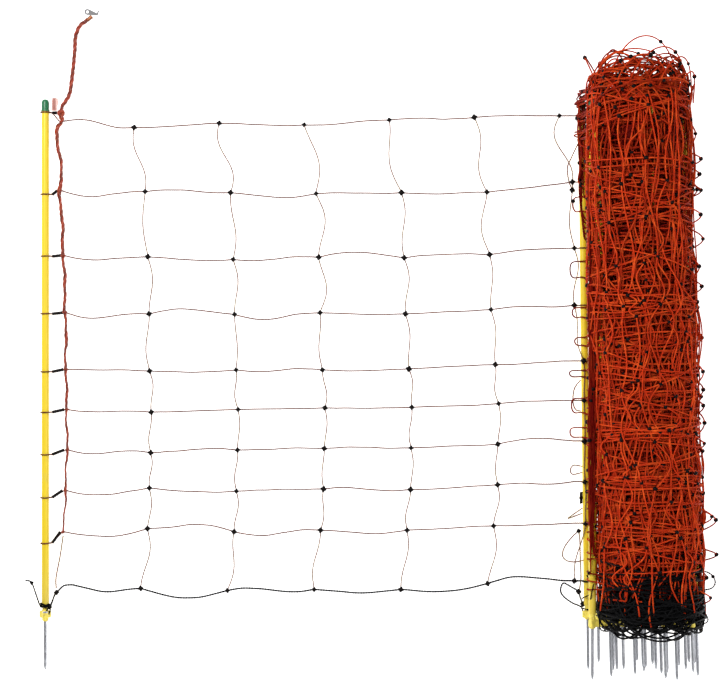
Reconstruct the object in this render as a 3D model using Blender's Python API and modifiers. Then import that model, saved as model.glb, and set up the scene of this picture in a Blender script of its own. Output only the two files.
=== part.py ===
"""Electric fence net for poultry and small stock, lying flat and part unrolled.

An end post and one stretched panel of net lie on the ground at the left. The rest of the net is
still rolled up round its other posts at the right. Metres, +Z up from the ground, +Y towards the
tops of the posts. The origin is the centre of the flat underside of the roll.
"""

import math

import bmesh
import bpy
from mathutils import Matrix, Vector

# Net: heights above or below the middle of the roll, and where the cross strands meet each strand
# (height at the end post, height in the panel, x of the first knot, distance between knots)
LIVE_ROWS = (
    (0.4405, 0.4160, -0.9425, 0.1592),
    (0.2873, 0.2915, -0.9220, 0.1600),
    (0.1718, 0.1700, -0.9170, 0.1600),
    (0.0641, 0.0650, -0.9145, 0.1600),
    (-0.0444, -0.0410, -0.9135, 0.1618),
    (-0.1202, -0.1150, -0.9105, 0.1626),
    (-0.1993, -0.1900, -0.9115, 0.1625),
    (-0.2798, -0.2640, -0.9140, 0.1630),
    (-0.3650, -0.3400, -0.9175, 0.1620),
)
GROUND_ROW = (-0.4855, -0.4520, -0.9303, 0.1624)
ROWS = LIVE_ROWS + (GROUND_ROW,)
# Height at which each live strand passes under the connecting lead.
AT_LEAD = (0.4405, 0.2955, 0.1735, 0.0665, -0.0400, -0.1150, -0.1905, -0.2665, -0.3440)
COLUMNS = 6
COLUMN_SLACK = (0.012, 0.008, 0.004, 0.004, 0.003, 0.002, 0.003, 0.003, 0.006)

STRAND_R = 0.0010
GROUND_R = 0.0015
KNOT_R = 0.0034
KNOT_HALF = 0.0034
GROUND_KNOT_R = 0.0030
ROW_Z = 0.0035
GROUND_Z = 0.0032
COLUMN_Z = 0.0062
CHANNEL_R = 0.00135
LAST_KNOT_X = -0.1185
SLOPE_START = -0.44
ROW_SLOPE = 0.05
TOP_ROW_SLOPE = 0.027
STRAND_SETTLE = 0.050

# Posts: lengths run along a post, from zero at the middle of the roll
POST_R = 0.0070
POST_BORE_R = 0.0033
POST_Z = 0.0109
SHAFT_TOP = 0.4425
SHAFT_BOTTOM = -0.4800
CAP_TOP = 0.4650
CAP_R = 0.0077
SPIKE_R = 0.0030
LONG_TIP = -0.6010
SHORT_TIP = -0.5830
TANG = 0.040
FOOT_TOP = -0.4910
FOOT_BOTTOM = -0.5040
FOOT_HUB_R = 0.0073
FOOT_EAR = 0.0030
FOOT_TIP_R = 0.0058
SPIKE_SPACING = 0.038
POINT_LENGTH = 0.014
GAP = 0.0003

END_POST_X = -1.1080
END_POST_TILT = math.radians(8.5)
OUTER_POST_X = -0.0998
OUTER_POST_LEAN = math.radians(0.65)
OUTER_POST_TILT = math.radians(25.0)
LOOP_R = POST_R + 0.0016
LOOP_STEPS = 9

# Posts inside the roll: x and z at their middle, lean of the post, tilt of its short spike from
# upright, how far it has slid along the roll
ROLL_LEAN = math.radians(1.5)
ROLL_POSTS = (
    (-0.0945, 0.098, 0.0, 89.0, -0.006),
    (-0.0774, 0.114, 1.5, 30.0, 0.002),
    (-0.0589, 0.045, 1.5, 73.0, 0.004),
    (-0.0289, 0.073, 1.5, 16.0, 0.000),
    (-0.0089, 0.044, 1.5, 18.0, 0.001),
    (0.0151, 0.033, 1.5, 19.0, 0.003),
    (0.0188, 0.080, 1.5, -22.0, 0.002),
    (0.0350, 0.041, 1.5, 27.0, -0.002),
    (0.0412, 0.121, 1.5, 42.0, -0.003),
    (0.0688, 0.046, 1.5, 1.0, 0.005),
    (0.0847, 0.085, 1.5, 179.0, -0.001),
    (0.0166, 0.151, 1.5, -118.0, 0.004),
)

# Roll of net
ROLL_R_TOP = 0.0950
ROLL_R_BOTTOM = 0.0995
ROLL_X = 0.0018
ROLL_Z = 0.0900
ROLL_TOP = 0.5100
BAND_TOP = -0.3945
ROLL_BOTTOM = -0.4840
ROLL_LUMPS = 0.0035
ROLL_BORE_GAP = 0.0008
ROLL_SIDES = 28

# Sleeves on the doubled strands beside the end post
SLEEVE_R = 0.0029
SLEEVE_BORE_R = 0.0025
SLEEVE_Z = 0.00305
SLEEVE_START = 0.0118
SLEEVE_END_GAP = 0.0012
LEG_UPPER_Z = 0.0042
LEG_LOWER_Z = 0.0019

# Connecting lead
LEAD_R_TOP = 0.0036
LEAD_R_BOTTOM = 0.0019
LEAD_TIE = 0.0006
LEAD_FLOOR = ROW_Z + STRAND_R + 0.0004
LEAD_ROUTE = (
    (-1.0785, 0.4215),
    (-1.0862, 0.4070),
    (-1.0835, 0.3750),
    (-1.0790, 0.3340),
    (-1.0805, 0.2890),
    (-1.0765, 0.2200),
    (-1.0745, 0.1700),
    (-1.0709, 0.0640),
    (-1.0700, -0.0440),
    (-1.0685, -0.1180),
    (-1.0681, -0.1930),
    (-1.0709, -0.2700),
    (-1.0745, -0.3470),
)
KNOT_CENTRE = (-1.0785, 0.4370, 0.0114)
KNOT_SIZE = (0.0072, 0.0130, 0.0062)
TAIL_R = 0.0039
TAIL_ROUTE = (
    (-1.0765, 0.4525, 0.0095),
    (-1.0705, 0.4620, 0.0062),
    (-1.0630, 0.4780, 0.0044),
    (-1.0593, 0.5040, 0.0044),
    (-1.0557, 0.5363, 0.0044),
    (-1.0536, 0.5606, 0.0044),
    (-1.0523, 0.5831, 0.0044),
    (-1.0445, 0.6030, 0.0044),
    (-1.0305, 0.6140, 0.0044),
)
FERRULE_R = 0.0042
FERRULE_LENGTH = 0.0110
CLIP_Z = 0.0095
CLIP_THICK = 0.0012
CLIP_EYE = (-1.0293, 0.6285)
CLIP_EYE_R = 0.0056
CLIP_HOLE_R = 0.0026
CLIP_TIP = (-1.0110, 0.6240)
CLIP_TIP_R = 0.0018
PRONG_TOP = (-1.0080, 0.6312)

# Ground cord tail at the foot of the end post
GROUND_TAIL_ROUTE = (
    (-1.1146, -0.4850, 0.0088),
    (-1.1200, -0.4790, 0.0058),
    (-1.1265, -0.4620, 0.0026),
    (-1.1346, -0.4400, 0.0020),
    (-1.1400, -0.4362, 0.0020),
    (-1.1468, -0.4350, 0.0020),
)
GROUND_NECK_R = 0.0050
CORNER_KNOT = (-1.0878, -0.4575)

# Tag by the top of the end post
TAG_CENTRE = (-1.0920, 0.4560)
TAG_SIZE = (0.0115, 0.0225, 0.0006)
TAG_HINGE_Y = 0.4435
TAG_Z = 0.0075

COLOURS = {
    "orange strand": ((0.68, 0.17, 0.07), 0.45, 0.0),
    "black strand": ((0.02, 0.02, 0.022), 0.5, 0.0),
    "yellow post": ((0.93, 0.72, 0.05), 0.35, 0.0),
    "green cap": ((0.01, 0.22, 0.07), 0.35, 0.0),
    "black sleeve": ((0.02, 0.012, 0.01), 0.4, 0.0),
    "red lead": ((0.45, 0.035, 0.02), 0.6, 0.0),
    "galvanised steel": ((0.55, 0.55, 0.54), 0.35, 1.0),
    "copper crimp": ((0.35, 0.14, 0.05), 0.4, 1.0),
    "tag film": ((0.80, 0.55, 0.50), 0.4, 0.0),
    "rolled net": ((0.60, 0.12, 0.05), 0.6, 0.0),
}


# ---- scene and helpers ----


def clear_scene():
    for obj in list(bpy.data.objects):
        bpy.data.objects.remove(obj, do_unlink=True)


def new_collection(name):
    made = bpy.data.collections.new(name)
    bpy.context.scene.collection.children.link(made)
    return made


def new_material(name, colour, roughness, metallic):
    made = bpy.data.materials.new(name)
    made.use_nodes = True
    shader = made.node_tree.nodes["Principled BSDF"]
    shader.inputs["Base Color"].default_value = (*colour, 1.0)
    shader.inputs["Roughness"].default_value = roughness
    shader.inputs["Metallic"].default_value = metallic
    return made


def paint(obj, material_name):
    obj.data.materials.clear()
    obj.data.materials.append(MATERIALS[material_name])
    return obj


def add_object(name, data, collection, parent=None):
    obj = bpy.data.objects.new(name, data)
    collection.objects.link(obj)
    obj.parent = parent
    return obj


def tube_curve(name, points, radii, roundness, collection):
    """A filled POLY curve through the points, with its own radius at each."""
    data = bpy.data.curves.new(name, "CURVE")
    data.dimensions = "3D"
    data.bevel_depth = 1.0
    data.bevel_resolution = roundness
    data.use_fill_caps = True
    spline = data.splines.new("POLY")
    spline.points.add(len(points) - 1)
    for spot, place, radius in zip(spline.points, points, radii):
        spot.co = (*place, 1.0)
        spot.radius = radius
    return add_object(name, data, collection)


def as_mesh(obj):
    """Turns a curve object into a mesh object of the same name, with its caps welded."""
    bpy.context.view_layer.update()
    graph = bpy.context.evaluated_depsgraph_get()
    mesh = bpy.data.meshes.new_from_object(obj.evaluated_get(graph), depsgraph=graph)
    name = obj.name
    place = obj.matrix_world.copy()
    collection = obj.users_collection[0]
    parent = obj.parent
    bpy.data.objects.remove(obj, do_unlink=True)
    work = bmesh.new()
    work.from_mesh(mesh)
    bmesh.ops.remove_doubles(work, verts=work.verts, dist=1e-6)
    bmesh.ops.recalc_face_normals(work, faces=work.faces)
    work.to_mesh(mesh)
    work.free()
    mesh.name = name
    made = add_object(name, mesh, collection, parent)
    made.matrix_world = place
    return made


def smooth_shaded(obj, degrees=40.0):
    obj.data.shade_smooth()
    obj.data.set_sharp_from_angle(angle=math.radians(degrees))
    return obj


def subtract(obj, cutter=None, cutters=None):
    """Takes one cutter object, or every object of a collection, out of obj."""
    cut = obj.modifiers.new("cut", "BOOLEAN")
    cut.operation = "DIFFERENCE"
    cut.solver = "EXACT"
    if cutters:
        cut.operand_type = "COLLECTION"
        cut.collection = cutters
    else:
        cut.object = cutter
    return obj


def join_on(obj, other):
    """Unites obj with a helper, which is then kept only as a hidden guide."""
    joint = obj.modifiers.new("join", "BOOLEAN")
    joint.operation = "UNION"
    joint.solver = "EXACT"
    joint.object = other
    return obj


def hide(obj):
    obj.hide_render = True
    obj.display_type = "WIRE"
    return obj


def turned(name, profile, segments, collection, parent=None, ring=False):
    """Turns a profile of (radius, height) about its own Z axis. The profile runs from top to bottom."""
    mesh = bpy.data.meshes.new(name)
    last = len(profile)
    edges = [(i, i + 1) for i in range(last - 1)]
    if ring:
        edges.append((last - 1, 0))
    mesh.from_pydata([(radius, 0.0, height) for radius, height in profile], edges, [])
    obj = add_object(name, mesh, collection, parent)
    screw = obj.modifiers.new("turn", "SCREW")
    screw.angle = math.tau
    screw.steps = segments
    screw.render_steps = segments
    screw.use_merge_vertices = True
    screw.merge_threshold = 0.00001
    return obj


def smooth_route(route, step):
    """Points at even distances on a Catmull-Rom curve through the route's points."""
    ends = [2 * Vector(route[0]) - Vector(route[1])]
    ends += [Vector(p) for p in route]
    ends.append(2 * Vector(route[-1]) - Vector(route[-2]))
    fine = []
    for a, b, c, d in zip(ends, ends[1:], ends[2:], ends[3:]):
        for i in range(12):
            t = i / 12
            linear = (c - a) * t
            square = (2 * a - 5 * b + 4 * c - d) * t**2
            cubic = (3 * b - a - 3 * c + d) * t**3
            fine.append(0.5 * (2 * b + linear + square + cubic))
    fine.append(ends[-2])
    length = sum((q - p).length for p, q in zip(fine, fine[1:]))
    spans = max(2, round(length / step))
    points, done, target = [fine[0]], 0.0, length / spans
    for p, q in zip(fine, fine[1:]):
        side = (q - p).length
        while target <= done + side + 1e-9 and len(points) < spans:
            points.append(p.lerp(q, (target - done) / side))
            target += length / spans
        done += side
    points.append(fine[-1])
    return points


def smoothstep(value):
    value = min(1.0, max(0.0, value))
    return value * value * (3 - 2 * value)


# ---- shape of the stretched net ----


def is_ground(row):
    return row == len(ROWS) - 1


def outer_post_x(y):
    return OUTER_POST_X - math.tan(OUTER_POST_LEAN) * y


def row_y(row, x):
    """Height of a strand at x: level up to the lead, then wavy and rising to the roll."""
    at_post, height, _, _ = ROWS[row]
    start = at_post if is_ground(row) else AT_LEAD[row]
    start_x = END_POST_X + 0.012 if is_ground(row) else lead_x(start) + 0.004
    away = smoothstep((x - start_x) / STRAND_SETTLE)
    wave = 0.0030 * math.sin(x * 29.0 + 1.7 * row) + 0.0016 * math.sin(x * 63.0 + 0.9 * row)
    slope = TOP_ROW_SLOPE * (x + 0.94) if row == 0 else ROW_SLOPE * max(0.0, x - SLOPE_START)
    return start + (height - start + wave + slope) * away


def knot_x(row, column):
    _, _, first, pitch = ROWS[row]
    return min(first + column * pitch, LAST_KNOT_X)


def row_z(row):
    return GROUND_Z if is_ground(row) else ROW_Z


def panel_stretch(row, start_x):
    """(point, radius) along a strand from start_x to the last cross strand, with a swelling at each knot."""
    thin = GROUND_R if is_ground(row) else STRAND_R
    thick = GROUND_KNOT_R if is_ground(row) else KNOT_R
    made, before = [], start_x
    for column in range(COLUMNS):
        centre = knot_x(row, column)
        for share in (1 / 3, 2 / 3):
            made.append((before + (centre - before) * share, thin))
        made.append((centre - KNOT_HALF, thin))
        made.append((centre - KNOT_HALF * 0.4, thick))
        made.append((centre + KNOT_HALF * 0.4, thick))
        made.append((centre + KNOT_HALF, thin))
        before = centre
    return [((x, row_y(row, x), row_z(row)), radius) for x, radius in made]


def arc(centre_x, radius, start, end, steps, y):
    """Points of an arc round a post, in the plane across the post at y."""
    made = []
    for i in range(steps + 1):
        angle = start + (end - start) * i / steps
        made.append((centre_x + radius * math.cos(angle), y, POST_Z + radius * math.sin(angle)))
    return made


def tangent(dx, dz, radius, upper):
    """Angle on a circle about the post where a line from (dx, dz) touches it, on its upper or lower side."""
    lean = math.acos(radius / math.hypot(dx, dz))
    return math.atan2(dz, dx) + (lean if upper else -lean)


def roll_side_loop(radius, y):
    """The strand passes under the outer post of the roll and turns round it."""
    start = math.radians(268)
    return arc(outer_post_x(y), radius, start, start + math.radians(285), LOOP_STEPS + 2, y)


def lead_radius(y):
    """The lead is thick at the top and thins to its lower end, and it swells where it is tied to a strand."""
    top, bottom = LEAD_ROUTE[0][1], LEAD_ROUTE[-1][1]
    share = (y - bottom) / (top - bottom)
    radius = LEAD_R_BOTTOM + (LEAD_R_TOP - LEAD_R_BOTTOM) * min(1.0, share * 1.3)
    nearest = min(abs(y - height) for height in AT_LEAD[1:])
    return radius + LEAD_TIE * math.exp(-((nearest / 0.006) ** 2))


def lead_x(y):
    """x of the lead at a height, straight between its route points."""
    for (x0, y0), (x1, y1) in zip(LEAD_ROUTE, LEAD_ROUTE[1:]):
        if y1 <= y <= y0:
            return x0 + (x1 - x0) * (y0 - y) / (y0 - y1)
    return LEAD_ROUTE[0][0] if y > LEAD_ROUTE[0][1] else LEAD_ROUTE[-1][0]


def sleeve_line(row):
    """Both ends of the sleeve's axis, from beside the post up or down to the lead."""
    left, start = END_POST_X + SLEEVE_START, ROWS[row][0]
    if row == 0:
        return (left, start), (KNOT_CENTRE[0] - KNOT_SIZE[0] - 0.0012, start)
    end = AT_LEAD[row]
    right = lead_x(end) - lead_radius(end) - 0.0008
    lean = math.atan2(end - start, right - left)
    return (left, start), (right - SLEEVE_R * abs(math.sin(lean)), end)


# ---- net ----


def live_strand(row):
    """One orange strand: its free end in the sleeve, a loop round the end post, the panel, the outer post."""
    (left, at_post), (right, at_lead) = sleeve_line(row)
    away = left - END_POST_X
    lower = tangent(away, LEG_LOWER_Z - POST_Z, LOOP_R, False)
    upper = tangent(away, LEG_UPPER_Z - POST_Z, LOOP_R, True)
    free_x = right - 0.002
    free_y = at_post + (at_lead - at_post) * (free_x - left) / (right - left)
    points = [(free_x, free_y, LEG_LOWER_Z), (left, at_post, LEG_LOWER_Z)]
    points += arc(END_POST_X, LOOP_R, lower, upper - math.tau, LOOP_STEPS, at_post)
    points += [(left, at_post, LEG_UPPER_Z), (right, at_lead, LEG_UPPER_Z)]
    crossing = right + 0.0030
    points.append((crossing, row_y(row, crossing), ROW_Z + 0.0002))
    radii = [STRAND_R] * len(points)
    for place, radius in panel_stretch(row, crossing):
        points.append(place)
        radii.append(radius)
    end_loop = roll_side_loop(LOOP_R, points[-1][1])
    points += end_loop
    radii += [STRAND_R] * len(end_loop)
    return as_mesh(tube_curve(f"row_strand_{row + 1}", points, radii, 0, NET))


def ground_strand():
    """The black strand: a loop round the neck above the foot, a knot at the corner, then the panel."""
    row = len(ROWS) - 1
    at_post = ROWS[row][0]
    loop = arc(END_POST_X, GROUND_NECK_R, math.radians(150), math.radians(-20), LOOP_STEPS - 2, at_post)
    points = list(loop)
    points.append((END_POST_X + 0.0090, at_post + 0.006, 0.0060))
    radii = [GROUND_R] * len(points)
    x, y = CORNER_KNOT
    for shift in (-0.003, -0.001, 0.001, 0.003):
        points.append((x + shift, y + shift, GROUND_Z))
        radii.append(GROUND_KNOT_R if abs(shift) < 0.002 else GROUND_R)
    points.append((-1.0740, -0.4450, GROUND_Z))
    points.append((-1.0587, -0.4433, GROUND_Z))
    points.append((-1.0280, -0.4500, GROUND_Z))
    radii += [GROUND_R] * 3
    for place, radius in panel_stretch(row, points[-1][0]):
        points.append(place)
        radii.append(radius)
    end_loop = roll_side_loop(POST_R + GROUND_R + 0.0007, points[-1][1])
    points += end_loop
    radii += [GROUND_R] * len(end_loop)
    return as_mesh(tube_curve("ground_strand", points, radii, 0, NET))


def column_route(column):
    """Points of a cross strand, over every strand at its knots and slack between them."""
    points = []
    for row in range(len(ROWS)):
        x = knot_x(row, column)
        y = row_y(row, x)
        if row == 0:
            points.append((x, y + 0.0045, COLUMN_Z))
        points.append((x, y + 0.0015, COLUMN_Z))
        points.append((x, y - 0.0015, COLUMN_Z))
        if is_ground(row):
            points.append((x, y - 0.0045, COLUMN_Z))
            break
        below = knot_x(row + 1, column)
        lower_y = row_y(row + 1, below)
        for share in (0.3, 0.7):
            bow = COLUMN_SLACK[row] * math.sin(math.tau * share + 0.5 * column)
            points.append((x + (below - x) * share + bow, y + (lower_y - y) * share, COLUMN_Z))
    return points


def net_panel():
    """All strands of the stretched panel. Each knot has an open channel for the cross strand over it."""
    for column in range(COLUMNS):
        points = column_route(column)
        strand = as_mesh(tube_curve(f"column_strand_{column + 1}", points, [STRAND_R] * len(points), 0, NET))
        paint(strand, "orange strand")
        wide = tube_curve(f"channel_{column + 1}", points, [CHANNEL_R] * len(points), 0, CHANNELS)
        hide(as_mesh(wide))
    for row in range(len(LIVE_ROWS)):
        paint(subtract(live_strand(row), cutters=CHANNELS), "orange strand")
    paint(subtract(ground_strand(), cutters=CHANNELS), "black strand")


def edge_strand():
    """The short strand from the lower end of the lead to the corner knot."""
    points = [(-1.0757, -0.3515, ROW_Z), (-1.0815, -0.3900, ROW_Z), (-1.0890, -0.4300, ROW_Z)]
    points.append((CORNER_KNOT[0] - 0.0010, CORNER_KNOT[1] + 0.0075, ROW_Z))
    strand = as_mesh(tube_curve("edge_strand", points, [STRAND_R] * len(points), 0, NET))
    return paint(strand, "orange strand")


def sleeves():
    """Black insulating sleeves, each round the two legs of a strand's loop."""
    for row in range(len(LIVE_ROWS)):
        (left, start), (right, end) = sleeve_line(row)
        half = math.hypot(right - left, end - start) / 2 - SLEEVE_END_GAP
        profile = [(SLEEVE_R, half), (SLEEVE_R, -half), (SLEEVE_BORE_R, -half), (SLEEVE_BORE_R, half)]
        sleeve = turned(f"sleeve_{row + 1}", profile, 10, NET, ring=True)
        sleeve.location = ((left + right) / 2, (start + end) / 2, SLEEVE_Z)
        sleeve.rotation_euler = (0.0, math.radians(90), math.atan2(end - start, right - left))
        smooth_shaded(paint(sleeve, "black sleeve"))


# ---- connecting lead, clip and tag ----


def connecting_lead():
    """The red lead tied to every live strand, its knot at the top strand and its free tail."""
    route = [(x, y, 0.0) for x, y in LEAD_ROUTE]
    points = smooth_route(route, 0.030)
    radii = [lead_radius(p.y) for p in points]
    places = [(p.x, p.y, LEAD_FLOOR + radius + LEAD_TIE) for p, radius in zip(points, radii)]
    paint(tube_curve("lead_riser", places, radii, 2, NET), "red lead")

    work = bmesh.new()
    bmesh.ops.create_uvsphere(work, u_segments=12, v_segments=8, radius=1.0)
    mesh = bpy.data.meshes.new("lead_knot")
    work.to_mesh(mesh)
    work.free()
    mesh.transform(Matrix.Diagonal((*KNOT_SIZE, 1.0)))
    knot = add_object("lead_knot", mesh, NET)
    knot.location = KNOT_CENTRE
    smooth_shaded(paint(knot, "red lead"), 60)

    tail = smooth_route(TAIL_ROUTE, 5 * TAIL_R)
    paint(tube_curve("lead_tail", tail, [TAIL_R] * len(tail), 3, NET), "red lead")


def ferrule_frame():
    """Where the free tail ends, and the direction it ends in."""
    end, before = Vector(TAIL_ROUTE[-1]), Vector(TAIL_ROUTE[-2])
    along = (end - before).normalized()
    return end, along


def ferrule_and_clip():
    """The crimp on the end of the lead, and the flat hook clip riveted on it."""
    end, along = ferrule_frame()
    start = end + along * GAP
    stop = start + along * FERRULE_LENGTH
    points = [start, start.lerp(stop, 0.35), start.lerp(stop, 0.65), stop]
    radii = [FERRULE_R, FERRULE_R * 0.86, FERRULE_R * 0.86, FERRULE_R]
    places = [(p.x, p.y, FERRULE_R + 0.0002) for p in points]
    paint(tube_curve("lead_ferrule", places, radii, 3, NET), "copper crimp")

    data = bpy.data.curves.new("lead_clip", "CURVE")
    data.dimensions = "2D"
    data.fill_mode = "BOTH"
    data.extrude = CLIP_THICK / 2
    add_outline(data, teardrop(CLIP_EYE, CLIP_EYE_R, CLIP_TIP, CLIP_TIP_R))
    add_outline(data, circle(CLIP_EYE, CLIP_HOLE_R, 12))
    clip = add_object("lead_clip", data, NET)
    clip.location = (0.0, 0.0, CLIP_Z + CLIP_THICK / 2)
    clip = as_mesh(clip)

    prong = bpy.data.curves.new("prong", "CURVE")
    prong.dimensions = "2D"
    prong.fill_mode = "BOTH"
    prong.extrude = CLIP_THICK / 2
    add_outline(prong, teardrop(CLIP_TIP, CLIP_TIP_R, PRONG_TOP, 0.0008))
    hook = add_object("prong", prong, HELPERS)
    hook.location = (0.0, 0.0, CLIP_Z + CLIP_THICK / 2)
    hook = as_mesh(hook)
    paint(join_on(clip, hide(hook)), "galvanised steel")


def add_outline(data, points):
    spline = data.splines.new("POLY")
    spline.points.add(len(points) - 1)
    for spot, (x, y) in zip(spline.points, points):
        spot.co = (x, y, 0.0, 1.0)
    spline.use_cyclic_u = True


def circle(centre, radius, steps):
    turn = [math.tau * i / steps for i in range(steps)]
    return [(centre[0] + radius * math.cos(a), centre[1] + radius * math.sin(a)) for a in turn]


def teardrop(big, big_r, small, small_r, steps=8):
    """Outline round two circles of unlike size and the straight sides between them."""
    dx, dy = small[0] - big[0], small[1] - big[1]
    heading = math.atan2(dy, dx)
    open_angle = math.acos((big_r - small_r) / math.hypot(dx, dy))
    points = []
    for i in range(steps + 1):
        a = heading + open_angle + (math.tau - 2 * open_angle) * i / steps
        points.append((big[0] + big_r * math.cos(a), big[1] + big_r * math.sin(a)))
    for i in range(steps // 2 + 1):
        a = heading - open_angle + 2 * open_angle * i / (steps // 2)
        points.append((small[0] + small_r * math.cos(a), small[1] + small_r * math.sin(a)))
    return points


def tag():
    """A thin blank tag that lies beside the post top and flaps about its lower edge."""
    hinge = bpy.data.objects.new("tag_hinge", None)
    hinge.location = (TAG_CENTRE[0], TAG_HINGE_Y, TAG_Z)
    NET.objects.link(hinge)
    bpy.ops.mesh.primitive_cube_add(size=1.0)
    plate = bpy.context.object
    plate.name = "tag"
    plate.data.name = "tag"
    plate.data.transform(Matrix.Diagonal((*TAG_SIZE, 1.0)))
    for owner in list(plate.users_collection):
        owner.objects.unlink(plate)
    NET.objects.link(plate)
    plate.parent = hinge
    plate.location = (0.0, TAG_CENTRE[1] - TAG_HINGE_Y, 0.0)
    rounding = plate.modifiers.new("corners", "BEVEL")
    rounding.width = 0.0002
    rounding.segments = 1
    paint(plate, "tag film")


def ground_tail():
    """The free end of the ground strand, with its small knot."""
    points = smooth_route(GROUND_TAIL_ROUTE, 0.0055)
    radii = [GROUND_R] * len(points)
    nearest = min(range(len(points)), key=lambda i: (points[i] - Vector(GROUND_TAIL_ROUTE[3])).length)
    radii[nearest] = GROUND_R * 1.25
    paint(tube_curve("ground_tail", points, radii, 2, NET), "black strand")


# ---- posts ----


def post_frame(name, x, z, lean, tilt):
    """An empty on a post's axis. Its Z runs up the post, its X towards the short spike."""
    frame = bpy.data.objects.new(name, None)
    spin = tilt - math.radians(90)
    upright = Matrix.Rotation(lean, 4, "Z") @ Matrix.Rotation(math.radians(-90), 4, "X")
    frame.matrix_world = Matrix.Translation((x, 0.0, z)) @ upright @ Matrix.Rotation(spin, 4, "Z")
    NET.objects.link(frame)
    return frame


def foot_outline(steps):
    """A hub with two ears for tying the ground strand, and an arm out to the short spike."""
    points = []
    for i in range(steps + 1):
        angle = math.radians(50 + 260 * i / steps)
        upper = math.exp(-(((math.degrees(angle) - 100) / 18) ** 2))
        lower = math.exp(-(((math.degrees(angle) - 260) / 18) ** 2))
        ear = upper + lower
        radius = FOOT_HUB_R + FOOT_EAR * ear
        points.append((radius * math.cos(angle), radius * math.sin(angle)))
    for i in range(steps // 3 + 1):
        angle = math.radians(-90 + 180 * i / (steps // 3))
        points.append((SPIKE_SPACING + FOOT_TIP_R * math.cos(angle), FOOT_TIP_R * math.sin(angle)))
    return points


def foot(name, parent):
    data = bpy.data.curves.new(name, "CURVE")
    data.dimensions = "2D"
    data.fill_mode = "BOTH"
    data.extrude = (FOOT_TOP - FOOT_BOTTOM) / 2
    add_outline(data, foot_outline(18))
    add_outline(data, circle((0.0, 0.0), SPIKE_R + GAP, 12))
    add_outline(data, circle((SPIKE_SPACING, 0.0), SPIKE_R + GAP, 12))
    made = add_object(name, data, NET, parent)
    made.location = (0.0, 0.0, (FOOT_TOP + FOOT_BOTTOM) / 2)
    return paint(made, "yellow post")


def spike_profile(top, tip, head_r=None):
    """A round bar with a pointed end, from top to bottom."""
    profile = [(0.0, top)]
    if head_r:
        profile += [(head_r, top), (head_r, top - 0.003)]
    profile += [(SPIKE_R, profile[-1][1]), (SPIKE_R, tip + POINT_LENGTH), (0.0012, tip + 0.0012), (0.0, tip)]
    return profile


def detailed_post(name, frame):
    """A post as separate pieces: bored shaft, cap with its spigot and nub, foot, long and short spike."""
    shaft_profile = [
        (POST_R, SHAFT_TOP),
        (POST_R, SHAFT_BOTTOM + 0.002),
        (POST_R - 0.0015, SHAFT_BOTTOM),
        (POST_BORE_R, SHAFT_BOTTOM),
        (POST_BORE_R, SHAFT_TOP),
    ]
    shaft = turned(f"{name}_shaft", shaft_profile, 16, NET, frame, ring=True)
    smooth_shaded(paint(shaft, "yellow post"))

    cap_profile = [
        (0.0, CAP_TOP),
        (CAP_R * 0.75, CAP_TOP - 0.0008),
        (CAP_R, CAP_TOP - 0.0040),
        (CAP_R, SHAFT_TOP + GAP),
        (SPIKE_R, SHAFT_TOP + GAP),
        (SPIKE_R, SHAFT_TOP - 0.014),
        (0.0, SHAFT_TOP - 0.014),
    ]
    cap = turned(f"{name}_cap", cap_profile, 16, NET, frame)
    nub_profile = [(0.0, 0.005), (0.0013, 0.005), (0.0022, -0.004), (0.0, -0.004)]
    nub = turned(f"{name}_nub", nub_profile, 8, HELPERS, frame)
    nub.location = (0.0, -CAP_R, CAP_TOP - 0.004)
    nub.rotation_euler = (math.radians(62), 0.0, 0.0)
    smooth_shaded(paint(join_on(cap, hide(nub)), "green cap"))

    foot(f"{name}_foot", frame)
    long_spike = turned(f"{name}_long_spike", spike_profile(SHAFT_BOTTOM + TANG, LONG_TIP), 10, NET, frame)
    smooth_shaded(paint(long_spike, "galvanised steel"))
    short_profile = spike_profile(FOOT_TOP + GAP + 0.003, SHORT_TIP, 0.0045)
    short_spike = turned(f"{name}_short_spike", short_profile, 10, NET, frame)
    short_spike.location = (SPIKE_SPACING, 0.0, 0.0)
    smooth_shaded(paint(short_spike, "galvanised steel"))


def joined_post(name, frame, slide):
    """A post inside the roll, as one solid: shaft, cap, foot and both spikes."""
    frame.location += frame.matrix_world.to_3x3() @ Vector((0.0, 0.0, slide))
    profile = [
        (0.0, CAP_TOP),
        (POST_R, CAP_TOP - 0.003),
        (POST_R, SHAFT_BOTTOM),
        (SPIKE_R, SHAFT_BOTTOM),
        (SPIKE_R, LONG_TIP + POINT_LENGTH),
        (0.0, LONG_TIP),
    ]
    post = turned(name, profile, 8, NET, frame)
    data = bpy.data.curves.new(f"{name}_foot", "CURVE")
    data.dimensions = "2D"
    data.fill_mode = "BOTH"
    data.extrude = (FOOT_TOP - FOOT_BOTTOM) / 2
    add_outline(data, teardrop((0.0, 0.0), FOOT_HUB_R, (SPIKE_SPACING, 0.0), FOOT_TIP_R, 6))
    plate = add_object(f"{name}_foot", data, HELPERS, frame)
    plate.location = (0.0, 0.0, (FOOT_TOP + FOOT_BOTTOM) / 2)
    plate = as_mesh(plate)
    middle = (FOOT_TOP + FOOT_BOTTOM) / 2
    short_profile = [(0.0, middle), (SPIKE_R, middle), (SPIKE_R, SHORT_TIP + POINT_LENGTH), (0.0, SHORT_TIP)]
    spike = turned(f"{name}_short", short_profile, 8, HELPERS, frame)
    spike.location = (SPIKE_SPACING, 0.0, 0.0)
    join_on(join_on(post, hide(plate)), hide(spike))
    smooth_shaded(paint(post, "yellow post"))

    bore_r = POST_R + ROLL_BORE_GAP
    top, bottom = CAP_TOP + 0.003, FOOT_BOTTOM - 0.026
    bore_profile = [(0.0, top), (bore_r, top), (bore_r, bottom), (0.0, bottom)]
    hide(turned(f"{name}_bore", bore_profile, 12, POST_BORES, frame))


# ---- roll ----


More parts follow.
